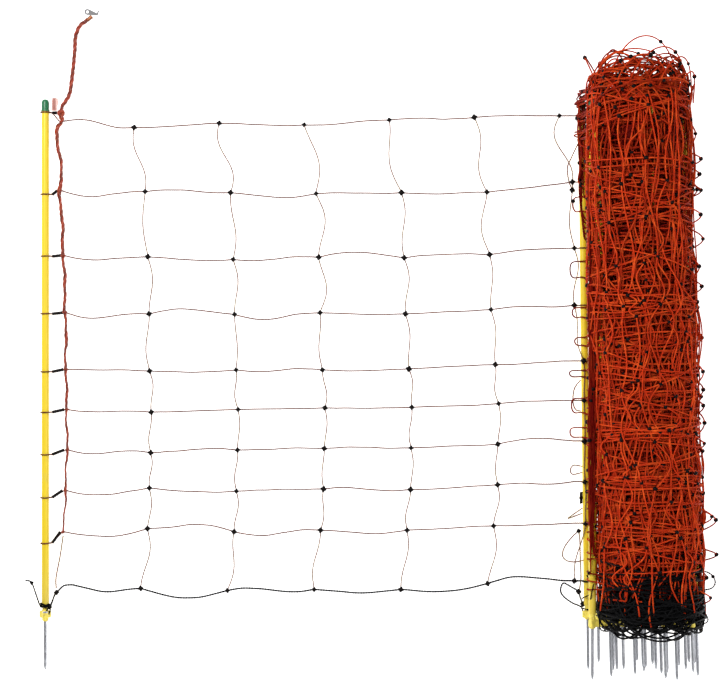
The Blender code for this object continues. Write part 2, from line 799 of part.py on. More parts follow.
def roll_ring(y):
    """Centre and radius of the roll at y: it leans, widens to its foot and is a little lumpy."""
    share = (ROLL_TOP - y) / (ROLL_TOP - ROLL_BOTTOM)
    radius = ROLL_R_TOP + (ROLL_R_BOTTOM - ROLL_R_TOP) * share
    radius += ROLL_LUMPS * (math.sin(21.0 * y + 0.6) + 0.6 * math.sin(47.0 * y)) / 2
    return Vector((ROLL_X - math.tan(ROLL_LEAN) * y, y, ROLL_Z)), radius


def roll_section(name, bottom, top, rings, material_name, domed):
    """A stretch of the roll, with its underside flat on the ground and a bore for every post in it."""
    places, radii = [], []
    for i in range(rings + 1):
        centre, radius = roll_ring(bottom + (top - bottom) * i / rings)
        places.append(centre)
        radii.append(radius)
    if domed:
        radii[-1] *= 0.72
        centre, _ = roll_ring(top - 0.018)
        places.insert(-1, centre)
        radii.insert(-1, roll_ring(top - 0.018)[1] * 0.95)
    solid = as_mesh(tube_curve(name, places, radii, ROLL_SIDES // 2 - 2, NET))
    subtract(solid, cutter=GROUND_BLOCK)
    subtract(solid, cutters=POST_BORES)
    smooth_shaded(paint(solid, material_name), 50)


def ground_block():
    """What lies below the ground, to cut the roll flat."""
    bpy.ops.mesh.primitive_cube_add(size=1.0, location=(0.0, 0.0, -0.1))
    block = bpy.context.object
    block.name = "below_ground"
    block.data.transform(Matrix.Diagonal((0.6, 1.4, 0.2, 1.0)))
    for owner in list(block.users_collection):
        owner.objects.unlink(block)
    HELPERS.objects.link(block)
    return hide(block)


# ---- the whole net ----

clear_scene()
NET = new_collection("electric_fence_net")
HELPERS = new_collection("cutters")
CHANNELS = new_collection("knot_channels")
POST_BORES = new_collection("post_bores")
for cutter_group in (HELPERS, CHANNELS, POST_BORES):
    cutter_group.hide_render = True
MATERIALS = {name: new_material(name, *look) for name, look in COLOURS.items()}
GROUND_BLOCK = ground_block()

net_panel()
edge_strand()
sleeves()
connecting_lead()
ferrule_and_clip()
tag()
ground_tail()

detailed_post("end_post", post_frame("end_post_axis", END_POST_X, POST_Z, 0.0, END_POST_TILT))
detailed_post(
    "roll_post_02",
    post_frame("roll_post_02_axis", OUTER_POST_X, POST_Z, OUTER_POST_LEAN, OUTER_POST_TILT),
)
for number, (post_x, post_z, lean, tilt, slide) in enumerate(ROLL_POSTS, start=3):
    axis = post_frame(f"roll_post_{number:02d}_axis", post_x, post_z, math.radians(lean), math.radians(tilt))
    joined_post(f"roll_post_{number:02d}", axis, slide)

roll_section("ground_roll", ROLL_BOTTOM, BAND_TOP - GAP, 3, "black strand", False)
roll_section("net_roll", BAND_TOP, ROLL_TOP, 9, "rolled net", True)
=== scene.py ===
"""An electric poultry net: its first panel spread out from the end post, the rest rolled up on its posts."""

import math

import bpy
import numpy as np
from mathutils import Matrix, Vector


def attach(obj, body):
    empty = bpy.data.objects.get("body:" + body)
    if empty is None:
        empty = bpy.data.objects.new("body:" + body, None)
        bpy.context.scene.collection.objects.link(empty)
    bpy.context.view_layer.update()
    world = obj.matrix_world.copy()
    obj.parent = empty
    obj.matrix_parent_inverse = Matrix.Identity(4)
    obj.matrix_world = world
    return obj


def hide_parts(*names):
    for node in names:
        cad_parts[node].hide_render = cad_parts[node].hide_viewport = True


bl_info = {
    "name": "Electric poultry net",
    "version": (1, 0, 0),
    "blender": (4, 5, 0),
    "location": "3D View > Sidebar > Poultry net",
    "description": "Builds an electric poultry net with one panel spread out and the rest rolled up",
    "category": "Object",
}

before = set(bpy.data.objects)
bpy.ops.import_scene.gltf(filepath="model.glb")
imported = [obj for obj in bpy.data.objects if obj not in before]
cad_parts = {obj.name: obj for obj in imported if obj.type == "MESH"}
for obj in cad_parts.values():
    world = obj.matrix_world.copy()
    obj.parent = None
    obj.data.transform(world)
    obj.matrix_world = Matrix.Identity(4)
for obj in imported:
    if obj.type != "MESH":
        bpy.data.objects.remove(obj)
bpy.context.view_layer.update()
MM = 0.001

# Each live strand: height on the end post, height in the panel, first knot, distance between knots.
LIVE_ROWS = (
    (0.4405, 0.4160, -0.9425, 0.1592),
    (0.2873, 0.2915, -0.9220, 0.1600),
    (0.1718, 0.1700, -0.9170, 0.1600),
    (0.0641, 0.0650, -0.9145, 0.1600),
    (-0.0444, -0.0410, -0.9135, 0.1618),
    (-0.1202, -0.1150, -0.9105, 0.1626),
    (-0.1993, -0.1900, -0.9115, 0.1625),
    (-0.2798, -0.2640, -0.9140, 0.1630),
    (-0.3650, -0.3400, -0.9175, 0.1620),
)
GROUND_ROW = (-0.4855, -0.4520, -0.9303, 0.1624)
ROWS = LIVE_ROWS + (GROUND_ROW,)
GROUND = len(LIVE_ROWS)
# Height at which each live strand passes under the connecting lead.
AT_LEAD = (0.4405, 0.2955, 0.1735, 0.0665, -0.0400, -0.1150, -0.1905, -0.2665, -0.3440)
# Height at which the top live strand leaves the knot of the lead.
TOP_STRAND_LEAVES = 0.4250
COLUMNS = 6
# Heights of each strand's knots, from the left, in millimetres.
KNOT_HEIGHTS = (
    (413, 421, 418, 427, 432, 435),
    (293, 291, 289, 291, 292, 311),
    (171, 166, 170, 169, 175, 187),
    (64, 63, 66, 64, 72, 80),
    (-43, -41, -41, -39, -31, -24),
    (-120, -115, -112, -111, -104, -98),
    (-196, -191, -188, -187, -180, -174),
    (-262, -268, -264, -265, -256, -250),
    (-338, -344, -341, -341, -333, -328),
    (-450, -454, -452, -452, -441, -436),
)
# Rise and double bow of each strand from the lead to its first knot, then between its knots, in millimetres.
ROW_BOWS = (
    ((2, 4), (-1, -0.5), (-2, 1), (-1, -2), (0.5, 2), (2, 0.5)),
    ((-9, -4), (3, 2), (-7, 1.5), (0, 1), (-2.5, -1), (-0.5, 0)),
    ((-6.5, -2.5), (-4, 1), (-1, -3), (10, 1.5), (4, 0), (4, 0)),
    ((-7, -4), (9, 1.5), (-8, -4), (-1, 0.5), (0, 0), (1.5, 1.5)),
    ((0.5, -0.5), (-3, 0), (-0.5, -3), (-2.5, 0), (0.5, 0), (0, -0.5)),
    ((-1.5, -2), (0, 0), (-0.5, 0), (-1, 0), (-1, 0.5), (2, 0.5)),
    ((-2, -4), (4, -1.5), (1.5, -1), (1.5, 1), (-0.5, 0.5), (7.5, 0.5)),
    ((-10, -1.5), (-4, 0.5), (1, 0), (0.5, 2.5), (-1, 0), (-1, 2)),
    ((-12, 1), (10, -3), (-5, -4), (-6, 1.5), (0, 0), (-0.5, 0)),
    ((-5, -1.5), (-16, 0), (0, 4), (-6, 0.5), (-9, 0.5), (9.5, 3)),
)
LAST_KNOT_X = -0.1185
ROW_Z = 0.0035
GROUND_Z = 0.0032
COLUMN_Z = 0.0058

# Sideways bow and double bow of each cross strand between two rows, from the top cell down, in millimetres.
BOWS = (
    ((-1, -6), (-7, 0), (7, 2), (-6, 2), (4, 2), (-3, 2), (2, 2), (5, 1), (8, 3)),
    ((2, -9), (5, -3), (7, 2), (3, -1), (-4, 2), (3, 1), (-3, 2), (4, 2), (6, -3)),
    ((15, -2), (14, 3), (13, -2), (-4, 2), (4, -2), (4, 1), (-3, 1), (3, -2), (-5, 3)),
    ((-12, 3), (2, 4), (7, 3), (5, 2), (4, 2), (-3, 2), (4, 1), (-4, 2), (4, 3)),
    ((-2, 7), (-13, 2), (4, 2), (5, 2), (-4, 2), (4, 1), (-4, 1), (5, 2), (9, 2)),
    ((-11, -9), (-7, 2), (5, 4), (-4, 3), (6, 2), (5, -2), (-4, 2), (4, 3), (-4, 2)),
)

END_POST_X = -1.1080
POST_Z = 0.0109
POST_R = 0.0070
SHAFT_TOP = 0.4425
SHAFT_BOTTOM = -0.4800
CAP_TOP = 0.4650
CAP_R = 0.0077
FOOT_TOP = -0.4910
FOOT_BOTTOM = -0.5040
SPIKE_R = 0.0030
SPIKE_SPACING = 0.038
LONG_TIP = -0.6010
SHORT_TIP = -0.5830
LOOP_R = 0.0086
OUTER_POST_X = -0.0998
OUTER_POST_LEAN = math.radians(0.65)

# Posts inside the roll: x at mid height, z, lean and short spike's turn in degrees, shift along the post.
ROLL_POSTS = (
    (-0.0945, 0.098, 0, 89, -0.006),
    (-0.0774, 0.114, 1.5, 30, 0.002),
    (-0.0589, 0.045, 1.5, 73, 0.004),
    (-0.0289, 0.073, 1.5, 16, 0),
    (-0.0089, 0.044, 1.5, 18, 0.001),
    (0.0151, 0.033, 1.5, 19, 0.003),
    (0.0188, 0.080, 1.5, -22, 0.002),
    (0.0350, 0.041, 1.5, 27, -0.002),
    (0.0412, 0.121, 1.5, 42, -0.003),
    (0.0688, 0.046, 1.5, 1, 0.005),
    (0.0847, 0.085, 1.5, 179, -0.001),
    (0.0166, 0.151, 1.5, -118, 0.004),
)
ROLL_X = 0.0018
ROLL_Z = 0.0900
ROLL_LEAN = math.tan(math.radians(1.5))
ROLL_TOP_R = 0.0950
ROLL_FOOT_R = 0.0995

LEAD_ROUTE = (
    (-1.0785, 0.4215),
    (-1.0862, 0.4070),
    (-1.0835, 0.3750),
    (-1.0790, 0.3340),
    (-1.0805, 0.2890),
    (-1.0765, 0.2200),
    (-1.0745, 0.1700),
    (-1.0709, 0.0640),
    (-1.0700, -0.0440),
    (-1.0685, -0.1180),
    (-1.0681, -0.1930),
    (-1.0709, -0.2700),
    (-1.0745, -0.3470),
)
LEAD_R_TOP = 0.0036
LEAD_R_BOTTOM = 0.0019
LEAD_KNOT = (-1.0785, 0.4370, 0.0114)
TAIL_ROUTE = (
    (-1.0765, 0.4525, 0.0095),
    (-1.0705, 0.4620, 0.0062),
    (-1.0630, 0.4780, 0.0044),
    (-1.0593, 0.5040, 0.0044),
    (-1.0557, 0.5363, 0.0044),
    (-1.0536, 0.5606, 0.0044),
    (-1.0523, 0.5831, 0.0044),
    (-1.0445, 0.6030, 0.0044),
    (-1.0305, 0.6140, 0.0044),
)
TAIL_R = 0.0039
GROUND_TAIL_ROUTE = (
    (-1.1146, -0.4850, 0.0088),
    (-1.1200, -0.4790, 0.0058),
    (-1.1265, -0.4620, 0.0026),
    (-1.1346, -0.4400, 0.0020),
    (-1.1400, -0.4362, 0.0020),
    (-1.1468, -0.4350, 0.0020),
)
GROUND_TAIL_R = 0.0015
CORNER_KNOT = (-1.0878, -0.4575)
TAG_CENTRE = (-1.0920, 0.4560, 0.0075)


# ---- sizes and colours a user may change ----


def length_property(name, description, default, low=0.0, high=100.0):
    return bpy.props.FloatProperty(
        name=name, description=description, default=default, min=low, max=high, unit="LENGTH", precision=4
    )


def colour_property(name, description, default):
    return bpy.props.FloatVectorProperty(
        name=name, description=description, default=default, size=3, min=0.0, max=1.0, subtype="COLOR"
    )


class NetSizes(bpy.types.PropertyGroup):
    strand: length_property("Live strand", "Diameter of an orange strand", 0.0029)
    ground: length_property("Ground strand", "Diameter of the black bottom strand", 0.0037)
    knot: length_property("Knot", "Width of a moulded knot in the panel", 0.0082)
    twist: length_property("Twist", "Length of one turn of a strand's plies", 0.0120)
    net_length: length_property("Rolled length", "Length of net that is rolled up", 49.0)
    column_step: length_property("Column step", "Distance between cross strands in the roll", 0.160)
    core: length_property("Roll heart", "Radius inside which the roll is packed solid", 0.068)
    bristle: bpy.props.IntProperty(name="Loose loops", description="Loose arches over the roll's top",
                                   default=130)
    hanging: bpy.props.IntProperty(name="Hanging loops", description="Black loops round the posts' feet",
                                   default=190)


class NetColours(bpy.types.PropertyGroup):
    live: colour_property("Live strand", "Bright plies of the live strands", (0.200, 0.036, 0.020))
    # Painted shade: the colour of the grooves between the live strand's plies.
    live_groove_shade: colour_property("Live strand shade", "Darker plies of the live strands",
                               (0.040, 0.010, 0.007))
    rolled: colour_property("Rolled strand", "Strands in the roll", (0.70, 0.046, 0.009))
    # Painted shade: the colour of strands deep in the roll, where they lie in shade; strands with a low tone
    # take it.
    rolled_painted_shade: colour_property("Deep strand", "Strands in the heart of the roll", (0.115, 0.003, 0.002))
    ground: colour_property("Ground strand", "Black bottom strand", (0.0022, 0.0022, 0.0026))
    moulding: colour_property("Knots", "Moulded knots and sleeves", (0.0030, 0.0018, 0.0018))
    post: colour_property("Posts", "Yellow post plastic", (0.90, 0.70, 0.030))
    cap: colour_property("Caps", "Green cap plastic", (0.004, 0.110, 0.040))
    lead: colour_property("Lead", "Red plies of the connecting lead", (0.36, 0.040, 0.016))
    steel: colour_property("Steel", "Galvanised steel of the spikes", (0.46, 0.47, 0.50))
    copper: colour_property("Crimp", "Copper crimp on the lead", (0.36, 0.13, 0.055))
    film: colour_property("Tag", "Film of the tag", (0.74, 0.42, 0.36))


class StudioSettings(bpy.types.PropertyGroup):
    camera_height: length_property("Camera height", "Camera above the floor", 4.0)
    lens: bpy.props.FloatProperty(name="Lens", description="Focal length in millimetres", default=105.8)
    floor: colour_property("Floor", "Floor colour", (0.93, 0.93, 0.93))


def sizes():
    return bpy.context.scene.net_sizes


def colours():
    return bpy.context.scene.net_colours


# ---- finishes ----


class Value:
    """A socket in a finish: arithmetic on it adds Math nodes."""

    def __init__(self, finish, socket):
        self.finish = finish
        self.socket = socket

    def maths(self, operation, first, second=None):
        given = {0: first} if second is None else {0: first, 1: second}
        return self.finish.node("ShaderNodeMath", {"operation": operation}, given)

    def __add__(self, other):
        return self.maths("ADD", self, other)

    def __radd__(self, other):
        return self.maths("ADD", other, self)

    def __sub__(self, other):
        return self.maths("SUBTRACT", self, other)

    def __rsub__(self, other):
        return self.maths("SUBTRACT", other, self)

    def __mul__(self, other):
        return self.maths("MULTIPLY", self, other)

    def __rmul__(self, other):
        return self.maths("MULTIPLY", other, self)

    def __gt__(self, other):
        return self.maths("GREATER_THAN", self, other)

    def wave(self):
        """Sine of the value, moved to run from 0 to 1."""
        return self.maths("SINE", self) * 0.5 + 0.5

    def power(self, exponent):
        return self.maths("POWER", self, exponent)


class Finish:
    """A material under construction, round one Principled shader."""

    def __init__(self, name, **constants):
        self.material = bpy.data.materials.new(name)
        self.material.use_nodes = True
        self.tree = self.material.node_tree
        self.tree.nodes.clear()
        self.output = self.tree.nodes.new("ShaderNodeOutputMaterial")
        self.shader = self.tree.nodes.new("ShaderNodeBsdfPrincipled")
        self.tree.links.new(self.shader.outputs[0], self.output.inputs[0])
        for socket, value in constants.items():
            self.shader.inputs[socket.replace("_", " ")].default_value = value

    def node(self, kind, settings=None, given=None, output=0):
        """Adds a node: its settings first, then the values or links of its sockets. Returns one output."""
        made = self.tree.nodes.new(kind)
        for setting, value in (settings or {}).items():
            if setting == "stops":
                self.set_stops(made.color_ramp, value)
            else:
                setattr(made, setting, value)
        for socket, value in (given or {}).items():
            self.feed(made.inputs[socket], value)
        return Value(self, made.outputs[output])

    @staticmethod
    def set_stops(ramp, stops):
        while len(ramp.elements) < len(stops):
            ramp.elements.new(0.5)
        for element, (place, colour) in zip(ramp.elements, stops):
            element.position = place
            element.color = (*colour, 1.0) if len(colour) == 3 else colour

    def feed(self, socket, value):
        if isinstance(value, Value):
            self.tree.links.new(value.socket, socket)
        elif socket.type == "RGBA":
            socket.default_value = (*value, 1.0)
        else:
            socket.default_value = value

    def varies(self, socket, value):
        self.feed(self.shader.inputs[socket], value)

    def place(self):
        return self.node("ShaderNodeTexCoord", output="Object")

    def stretched(self, scale):
        return self.node("ShaderNodeMapping", given={"Vector": self.place(), "Scale": scale})

    def noise(self, scale, detail=3.0, along=(1.0, 1.0, 1.0)):
        given = {"Vector": self.stretched(along), "Scale": scale, "Detail": detail}
        return self.node("ShaderNodeTexNoise", given=given, output="Fac")

    def blend(self, share, first, second):
        settings = {"data_type": "RGBA", "blend_type": "MIX"}
        return self.node("ShaderNodeMix", settings, {0: share, 6: first, 7: second}, output=2)

    def relief(self, height, depth, strength=1.0):
        bump = self.node("ShaderNodeBump",
                         given={"Height": height, "Distance": depth, "Strength": strength})
        self.varies("Normal", bump)


def along_and_round(finish):
    """Distance along a strand in metres, and the share of a turn round it."""
    uv = finish.node("ShaderNodeTexCoord", output="UV")
    split = finish.node("ShaderNodeSeparateXYZ", given={0: uv})
    return split, Value(finish, split.socket.node.outputs[1])


def ply_pattern(finish, twist, plies):
    along, turn = along_and_round(finish)
    return (along * (math.tau / twist) + turn * (math.tau * plies)).wave()


def polywire_finish(name, bright, dark, twist, deep=None):
    """Plastic twine of several plies with fine steel wires laid in the grooves."""
    finish = Finish(name, Roughness=0.42, Specular_IOR_Level=0.07 if deep is None else 0.02)
    ply = ply_pattern(finish, twist, 3)
    tone = finish.node("ShaderNodeAttribute", {"attribute_name": "tone"}, output="Fac")
    mottled = finish.noise(55.0)
    # Painted shade: the dark colour fills the grooves between the plies and the bright colour lies on their
    # crests, following the same wave as the bump.
    base = finish.blend(ply.power(0.7), dark, bright)
    # Painted highlight: lighter orange patches laid over the strands where the noise is high.
    light = (min(1.0, bright[0] * 1.20 + 0.02), bright[1] * 2.6, bright[2] * 2.0)
    base = finish.blend((mottled - 0.46) * 2.8, base, light)
    wire = ply_pattern(finish, twist, 1).power(14.0)
    if deep is None:
        base = finish.blend(wire * 0.30, base, (0.36, 0.27, 0.23))
    else:
        base = finish.blend(wire * 0.10, base, (0.40, 0.16, 0.10))
        # Painted shade: strands with a low tone, deep in the roll, are blended towards the deep shade
        # colour.
        base = finish.blend(tone.power(1.7), deep, base)
    finish.varies("Base Color", base)
    finish.varies("Roughness", 0.38 + mottled * 0.22)
    finish.relief(ply, 0.35 * MM)
    return finish.material


def ground_twine_finish(name, colour, twist):
    finish = Finish(name, Roughness=0.5, Specular_IOR_Level=0.05)
    ply = ply_pattern(finish, twist, 2)
    lighter = tuple(channel * 2.2 + 0.003 for channel in colour)
    worn = finish.noise(90.0)
    # Painted highlight: the crests of the plies, where the bump is high, are lightened; the worn noise adds
    # real wear.
    finish.varies("Base Color", finish.blend(ply * 0.5 + (worn - 0.5) * 0.6, colour, lighter))
    finish.varies("Roughness", 0.36 + worn * 0.26)
    finish.relief(ply, 0.4 * MM)
    return finish.material


def moulding_finish(name, colour):
    """Dark moulded plastic with a faint grain and dull worn spots."""
    finish = Finish(name, Roughness=0.4, Specular_IOR_Level=0.08)
    grain = finish.noise(900.0, 2.0)
    worn = finish.noise(140.0, 4.0)
    lighter = tuple(channel * 2.2 + 0.003 for channel in colour)
    finish.varies("Base Color", finish.blend((worn - 0.35) * 1.2, colour, lighter))
    finish.varies("Roughness", 0.30 + worn * 0.3)
    finish.relief(grain, 0.06 * MM, 0.6)
    return finish.material


def post_finish(name, colour):
    """Drawn yellow plastic: faint streaks along the post, a few scuffs, dust towards the foot."""
    finish = Finish(name, Specular_IOR_Level=0.5, Coat_Roughness=0.15)
    streak = finish.noise(260.0, 3.0, (1.0, 0.02, 1.0))
    scuff = finish.noise(38.0, 6.0, (1.0, 0.35, 1.0))
    high = finish.node("ShaderNodeSeparateXYZ", given={0: finish.place()}, output=1)
    dust = finish.node("ShaderNodeMapRange", given={"Value": high, 1: -0.36, 2: -0.52, 3: 0.0, 4: 1.0})
    deep = (colour[0] * 0.86, colour[1] * 0.76, colour[2] * 0.45)
    base = finish.blend(streak, deep, colour)
    marks = finish.node("ShaderNodeMapRange", given={"Value": scuff, 1: 0.62, 2: 0.74, 3: 0.0, 4: 0.4})
    base = finish.blend(marks, base, (0.62, 0.50, 0.12))
    base = finish.blend(dust * scuff * 0.35, base, (0.62, 0.56, 0.30))
    finish.varies("Base Color", base)
    finish.varies("Roughness", 0.26 + scuff * 0.2 + dust * 0.12)
    finish.relief(streak + scuff * 0.5, 0.10 * MM, 0.7)
    return finish.material


def foot_finish(name, colour):
    """Pale moulded yellow plastic with soil rubbed into it."""
    finish = Finish(name, Specular_IOR_Level=0.45)
    soil = finish.noise(150.0, 6.0)
    pale = (min(1.0, colour[0] * 0.98), min(1.0, colour[1] * 1.02), colour[2] + 0.07)
    marks = finish.node("ShaderNodeMapRange", given={"Value": soil, 1: 0.52, 2: 0.72, 3: 0.0, 4: 0.6})
    finish.varies("Base Color", finish.blend(marks, pale, (0.40, 0.30, 0.10)))
    finish.varies("Roughness", 0.36 + soil * 0.25)
    finish.relief(finish.noise(700.0), 0.08 * MM, 0.6)
    return finish.material


def cap_finish(name, colour):
    finish = Finish(name, Specular_IOR_Level=0.5)
    cloud = finish.noise(180.0, 4.0)
    lighter = tuple(min(1.0, channel * 1.5 + 0.01) for channel in colour)
    finish.varies("Base Color", finish.blend(cloud, colour, lighter))
    finish.varies("Roughness", 0.24 + cloud * 0.25)
    finish.relief(finish.noise(1100.0), 0.05 * MM, 0.6)
    return finish.material


def steel_finish(name, colour):
    """Galvanised bar: a zinc spangle, drawing lines along it, dull white bloom."""
    finish = Finish(name, Metallic=1.0, Specular_IOR_Level=0.5)
    spangle = finish.node(
        "ShaderNodeTexVoronoi", {"feature": "F1"},
        {"Vector": finish.stretched((1.0, 0.5, 1.0)), "Scale": 420.0}
    )
    lines = finish.noise(800.0, 2.0, (1.0, 0.015, 1.0))
    bloom = finish.noise(60.0, 5.0)
    dark = tuple(channel * 0.62 for channel in colour)
    base = finish.blend(spangle * 0.5 + lines * 0.5, dark, tuple(min(1.0, c * 1.45) for c in colour))
    finish.varies("Base Color", finish.blend((bloom - 0.5) * 0.9, base, (0.72, 0.73, 0.75)))
    finish.varies("Roughness", 0.22 + bloom * 0.3)
    finish.relief(lines + spangle * 0.4, 0.05 * MM, 0.6)
    return finish.material


def copper_finish(name, colour):
    finish = Finish(name, Metallic=1.0)
    tarnish = finish.noise(420.0, 5.0)
    finish.varies("Base Color", finish.blend(tarnish, (0.10, 0.045, 0.03), colour))
    finish.varies("Roughness", 0.28 + tarnish * 0.3)
    finish.relief(tarnish, 0.15 * MM, 0.7)
    return finish.material


def stamped_finish(name, colour):
    """Plated sheet steel, dulled and a little brown."""
    finish = Finish(name, Metallic=0.75)
    cloud = finish.noise(300.0, 5.0)
    finish.varies("Base Color",
                  finish.blend(cloud, (0.03, 0.026, 0.022), tuple(min(1.0, v * 0.7) for v in colour)))
    finish.varies("Roughness", 0.30 + cloud * 0.25)
    finish.relief(cloud, 0.10 * MM, 0.6)
    return finish.material


def lead_finish(name, colour):
    """Red twine plies with darker grooves and fibres along each ply."""
    finish = Finish(name, Specular_IOR_Level=0.4)
    along, turn = along_and_round(finish)
    fibres = (along * 900.0 + turn * (math.tau * 7)).wave()
    cloud = finish.noise(120.0, 4.0)
    tone = finish.node("ShaderNodeAttribute", {"attribute_name": "tone"}, output="Fac")
    dark = tuple(channel * 0.24 for channel in colour)
    light = (min(1.0, colour[0] * 1.25), colour[1] * 2.4, colour[2] * 2.2)
    base = finish.blend(tone * 0.75 + fibres * 0.25, dark, colour)
    finish.varies("Base Color", finish.blend((cloud - 0.45) * 1.4, base, light))
    finish.varies("Roughness", 0.38 + fibres * 0.22)
    finish.relief(fibres, 0.12 * MM, 0.8)
    return finish.material


def film_finish(name, colour):
    """Clear tinted film with a printed band down its middle."""
    finish = Finish(name, Roughness=0.18, Specular_IOR_Level=0.5)
    across = finish.node("ShaderNodeSeparateXYZ", given={0: finish.place()})
    off = across.maths("ABSOLUTE", across - TAG_CENTRE[0])
    band = finish.node("ShaderNodeMapRange", given={"Value": off, 1: 0.0022, 2: 0.0040, 3: 1.0, 4: 0.0})
    wrinkle = finish.noise(170.0, 4.0)
    finish.varies("Base Color", finish.blend(band * (0.55 + wrinkle * 0.6), colour, (0.30, 0.07, 0.045)))
    finish.varies("Alpha", 0.62 + band * 0.33)
    finish.varies("Roughness", 0.14 + wrinkle * 0.25)
    finish.relief(wrinkle, 0.4 * MM, 0.7)
    return finish.material


MADE_FINISHES = {}


def finish_named(name):
    """The material of that name, made on first use."""
    if name in MADE_FINISHES:
        return MADE_FINISHES[name]
    c = colours()
    twist = sizes().twist
    makers = {
        "live strand": lambda: polywire_finish(name, tuple(c.live), tuple(c.live_groove_shade), twist),
        "rolled strand": lambda: polywire_finish(
            name, tuple(c.rolled), tuple(v * 0.45 for v in c.rolled), 0.016, tuple(c.rolled_painted_shade)
        ),
        "cross strand": lambda: polywire_finish(name, (0.33, 0.135, 0.080), (0.12, 0.045, 0.028), twist),
        "ground strand": lambda: ground_twine_finish(name, tuple(c.ground), 0.010),
        "moulded knot": lambda: moulding_finish(name, tuple(c.moulding)),
        "yellow post": lambda: post_finish(name, tuple(c.post)),
        "yellow foot": lambda: foot_finish(name, tuple(c.post)),
        "green cap": lambda: cap_finish(name, tuple(c.cap)),
        "galvanised steel": lambda: steel_finish(name, tuple(c.steel)),
        "copper crimp": lambda: copper_finish(name, tuple(c.copper)),
        "stamped clip": lambda: stamped_finish(name, tuple(v * 0.32 for v in c.steel)),
        "red lead": lambda: lead_finish(name, tuple(c.lead)),
        "tag film": lambda: film_finish(name, tuple(c.film)),
    }
    MADE_FINISHES[name] = makers[name]()
    return MADE_FINISHES[name]


# ---- shapes ----


def smoothstep(value):
    value = np.clip(value, 0.0, 1.0)
    return value * value * (3.0 - 2.0 * value)


def route(points, step):
    """Points every step along a smooth curve through the given ones."""
    given = np.array(points, float)
    ends = np.vstack([2 * given[0] - given[1], given, 2 * given[-1] - given[-2]])
    made = []
    for i in range(1, len(ends) - 2):
        a = ends[i - 1]
        b = ends[i]
        c = ends[i + 1]
        d = ends[i + 2]
        count = max(2, int(np.linalg.norm(c - b) / step) + 1)
        for t in np.linspace(0.0, 1.0, count, endpoint=False):
            bend = 2 * a - 5 * b + 4 * c - d
            made.append(0.5 * (2 * b + (c - a) * t + bend * t * t + (3 * b - a - 3 * c + d) * t**3))
    made.append(given[-1])
    return np.array(made)


def even(points, step):
    """The same line with its points a step apart."""
    points = np.asarray(points, float)
    lengths = np.linalg.norm(np.diff(points, axis=0), axis=1)
    whole = np.concatenate([[0.0], np.cumsum(lengths)])
    places = np.linspace(0.0, whole[-1], max(2, int(whole[-1] / step) + 1))
    return np.column_stack([np.interp(places, whole, points[:, axis]) for axis in range(3)])


def directions(points):
    ahead = np.gradient(points, axis=0)
    return ahead / np.maximum(np.linalg.norm(ahead, axis=1, keepdims=True), 1e-9)


def carried_sides(points):
    """Two unit vectors across the line at each point, carried along it without twist."""
    ahead = directions(points)
    first = np.array([0.0, 0.0, 1.0]) if abs(ahead[0][2]) < 0.9 else np.array([1.0, 0.0, 0.0])
    side = np.empty_like(points)
    for i, way in enumerate(ahead):
        first = first - way * np.dot(first, way)
        first /= max(np.linalg.norm(first), 1e-9)
        side[i] = first
    return side, np.cross(ahead, side)


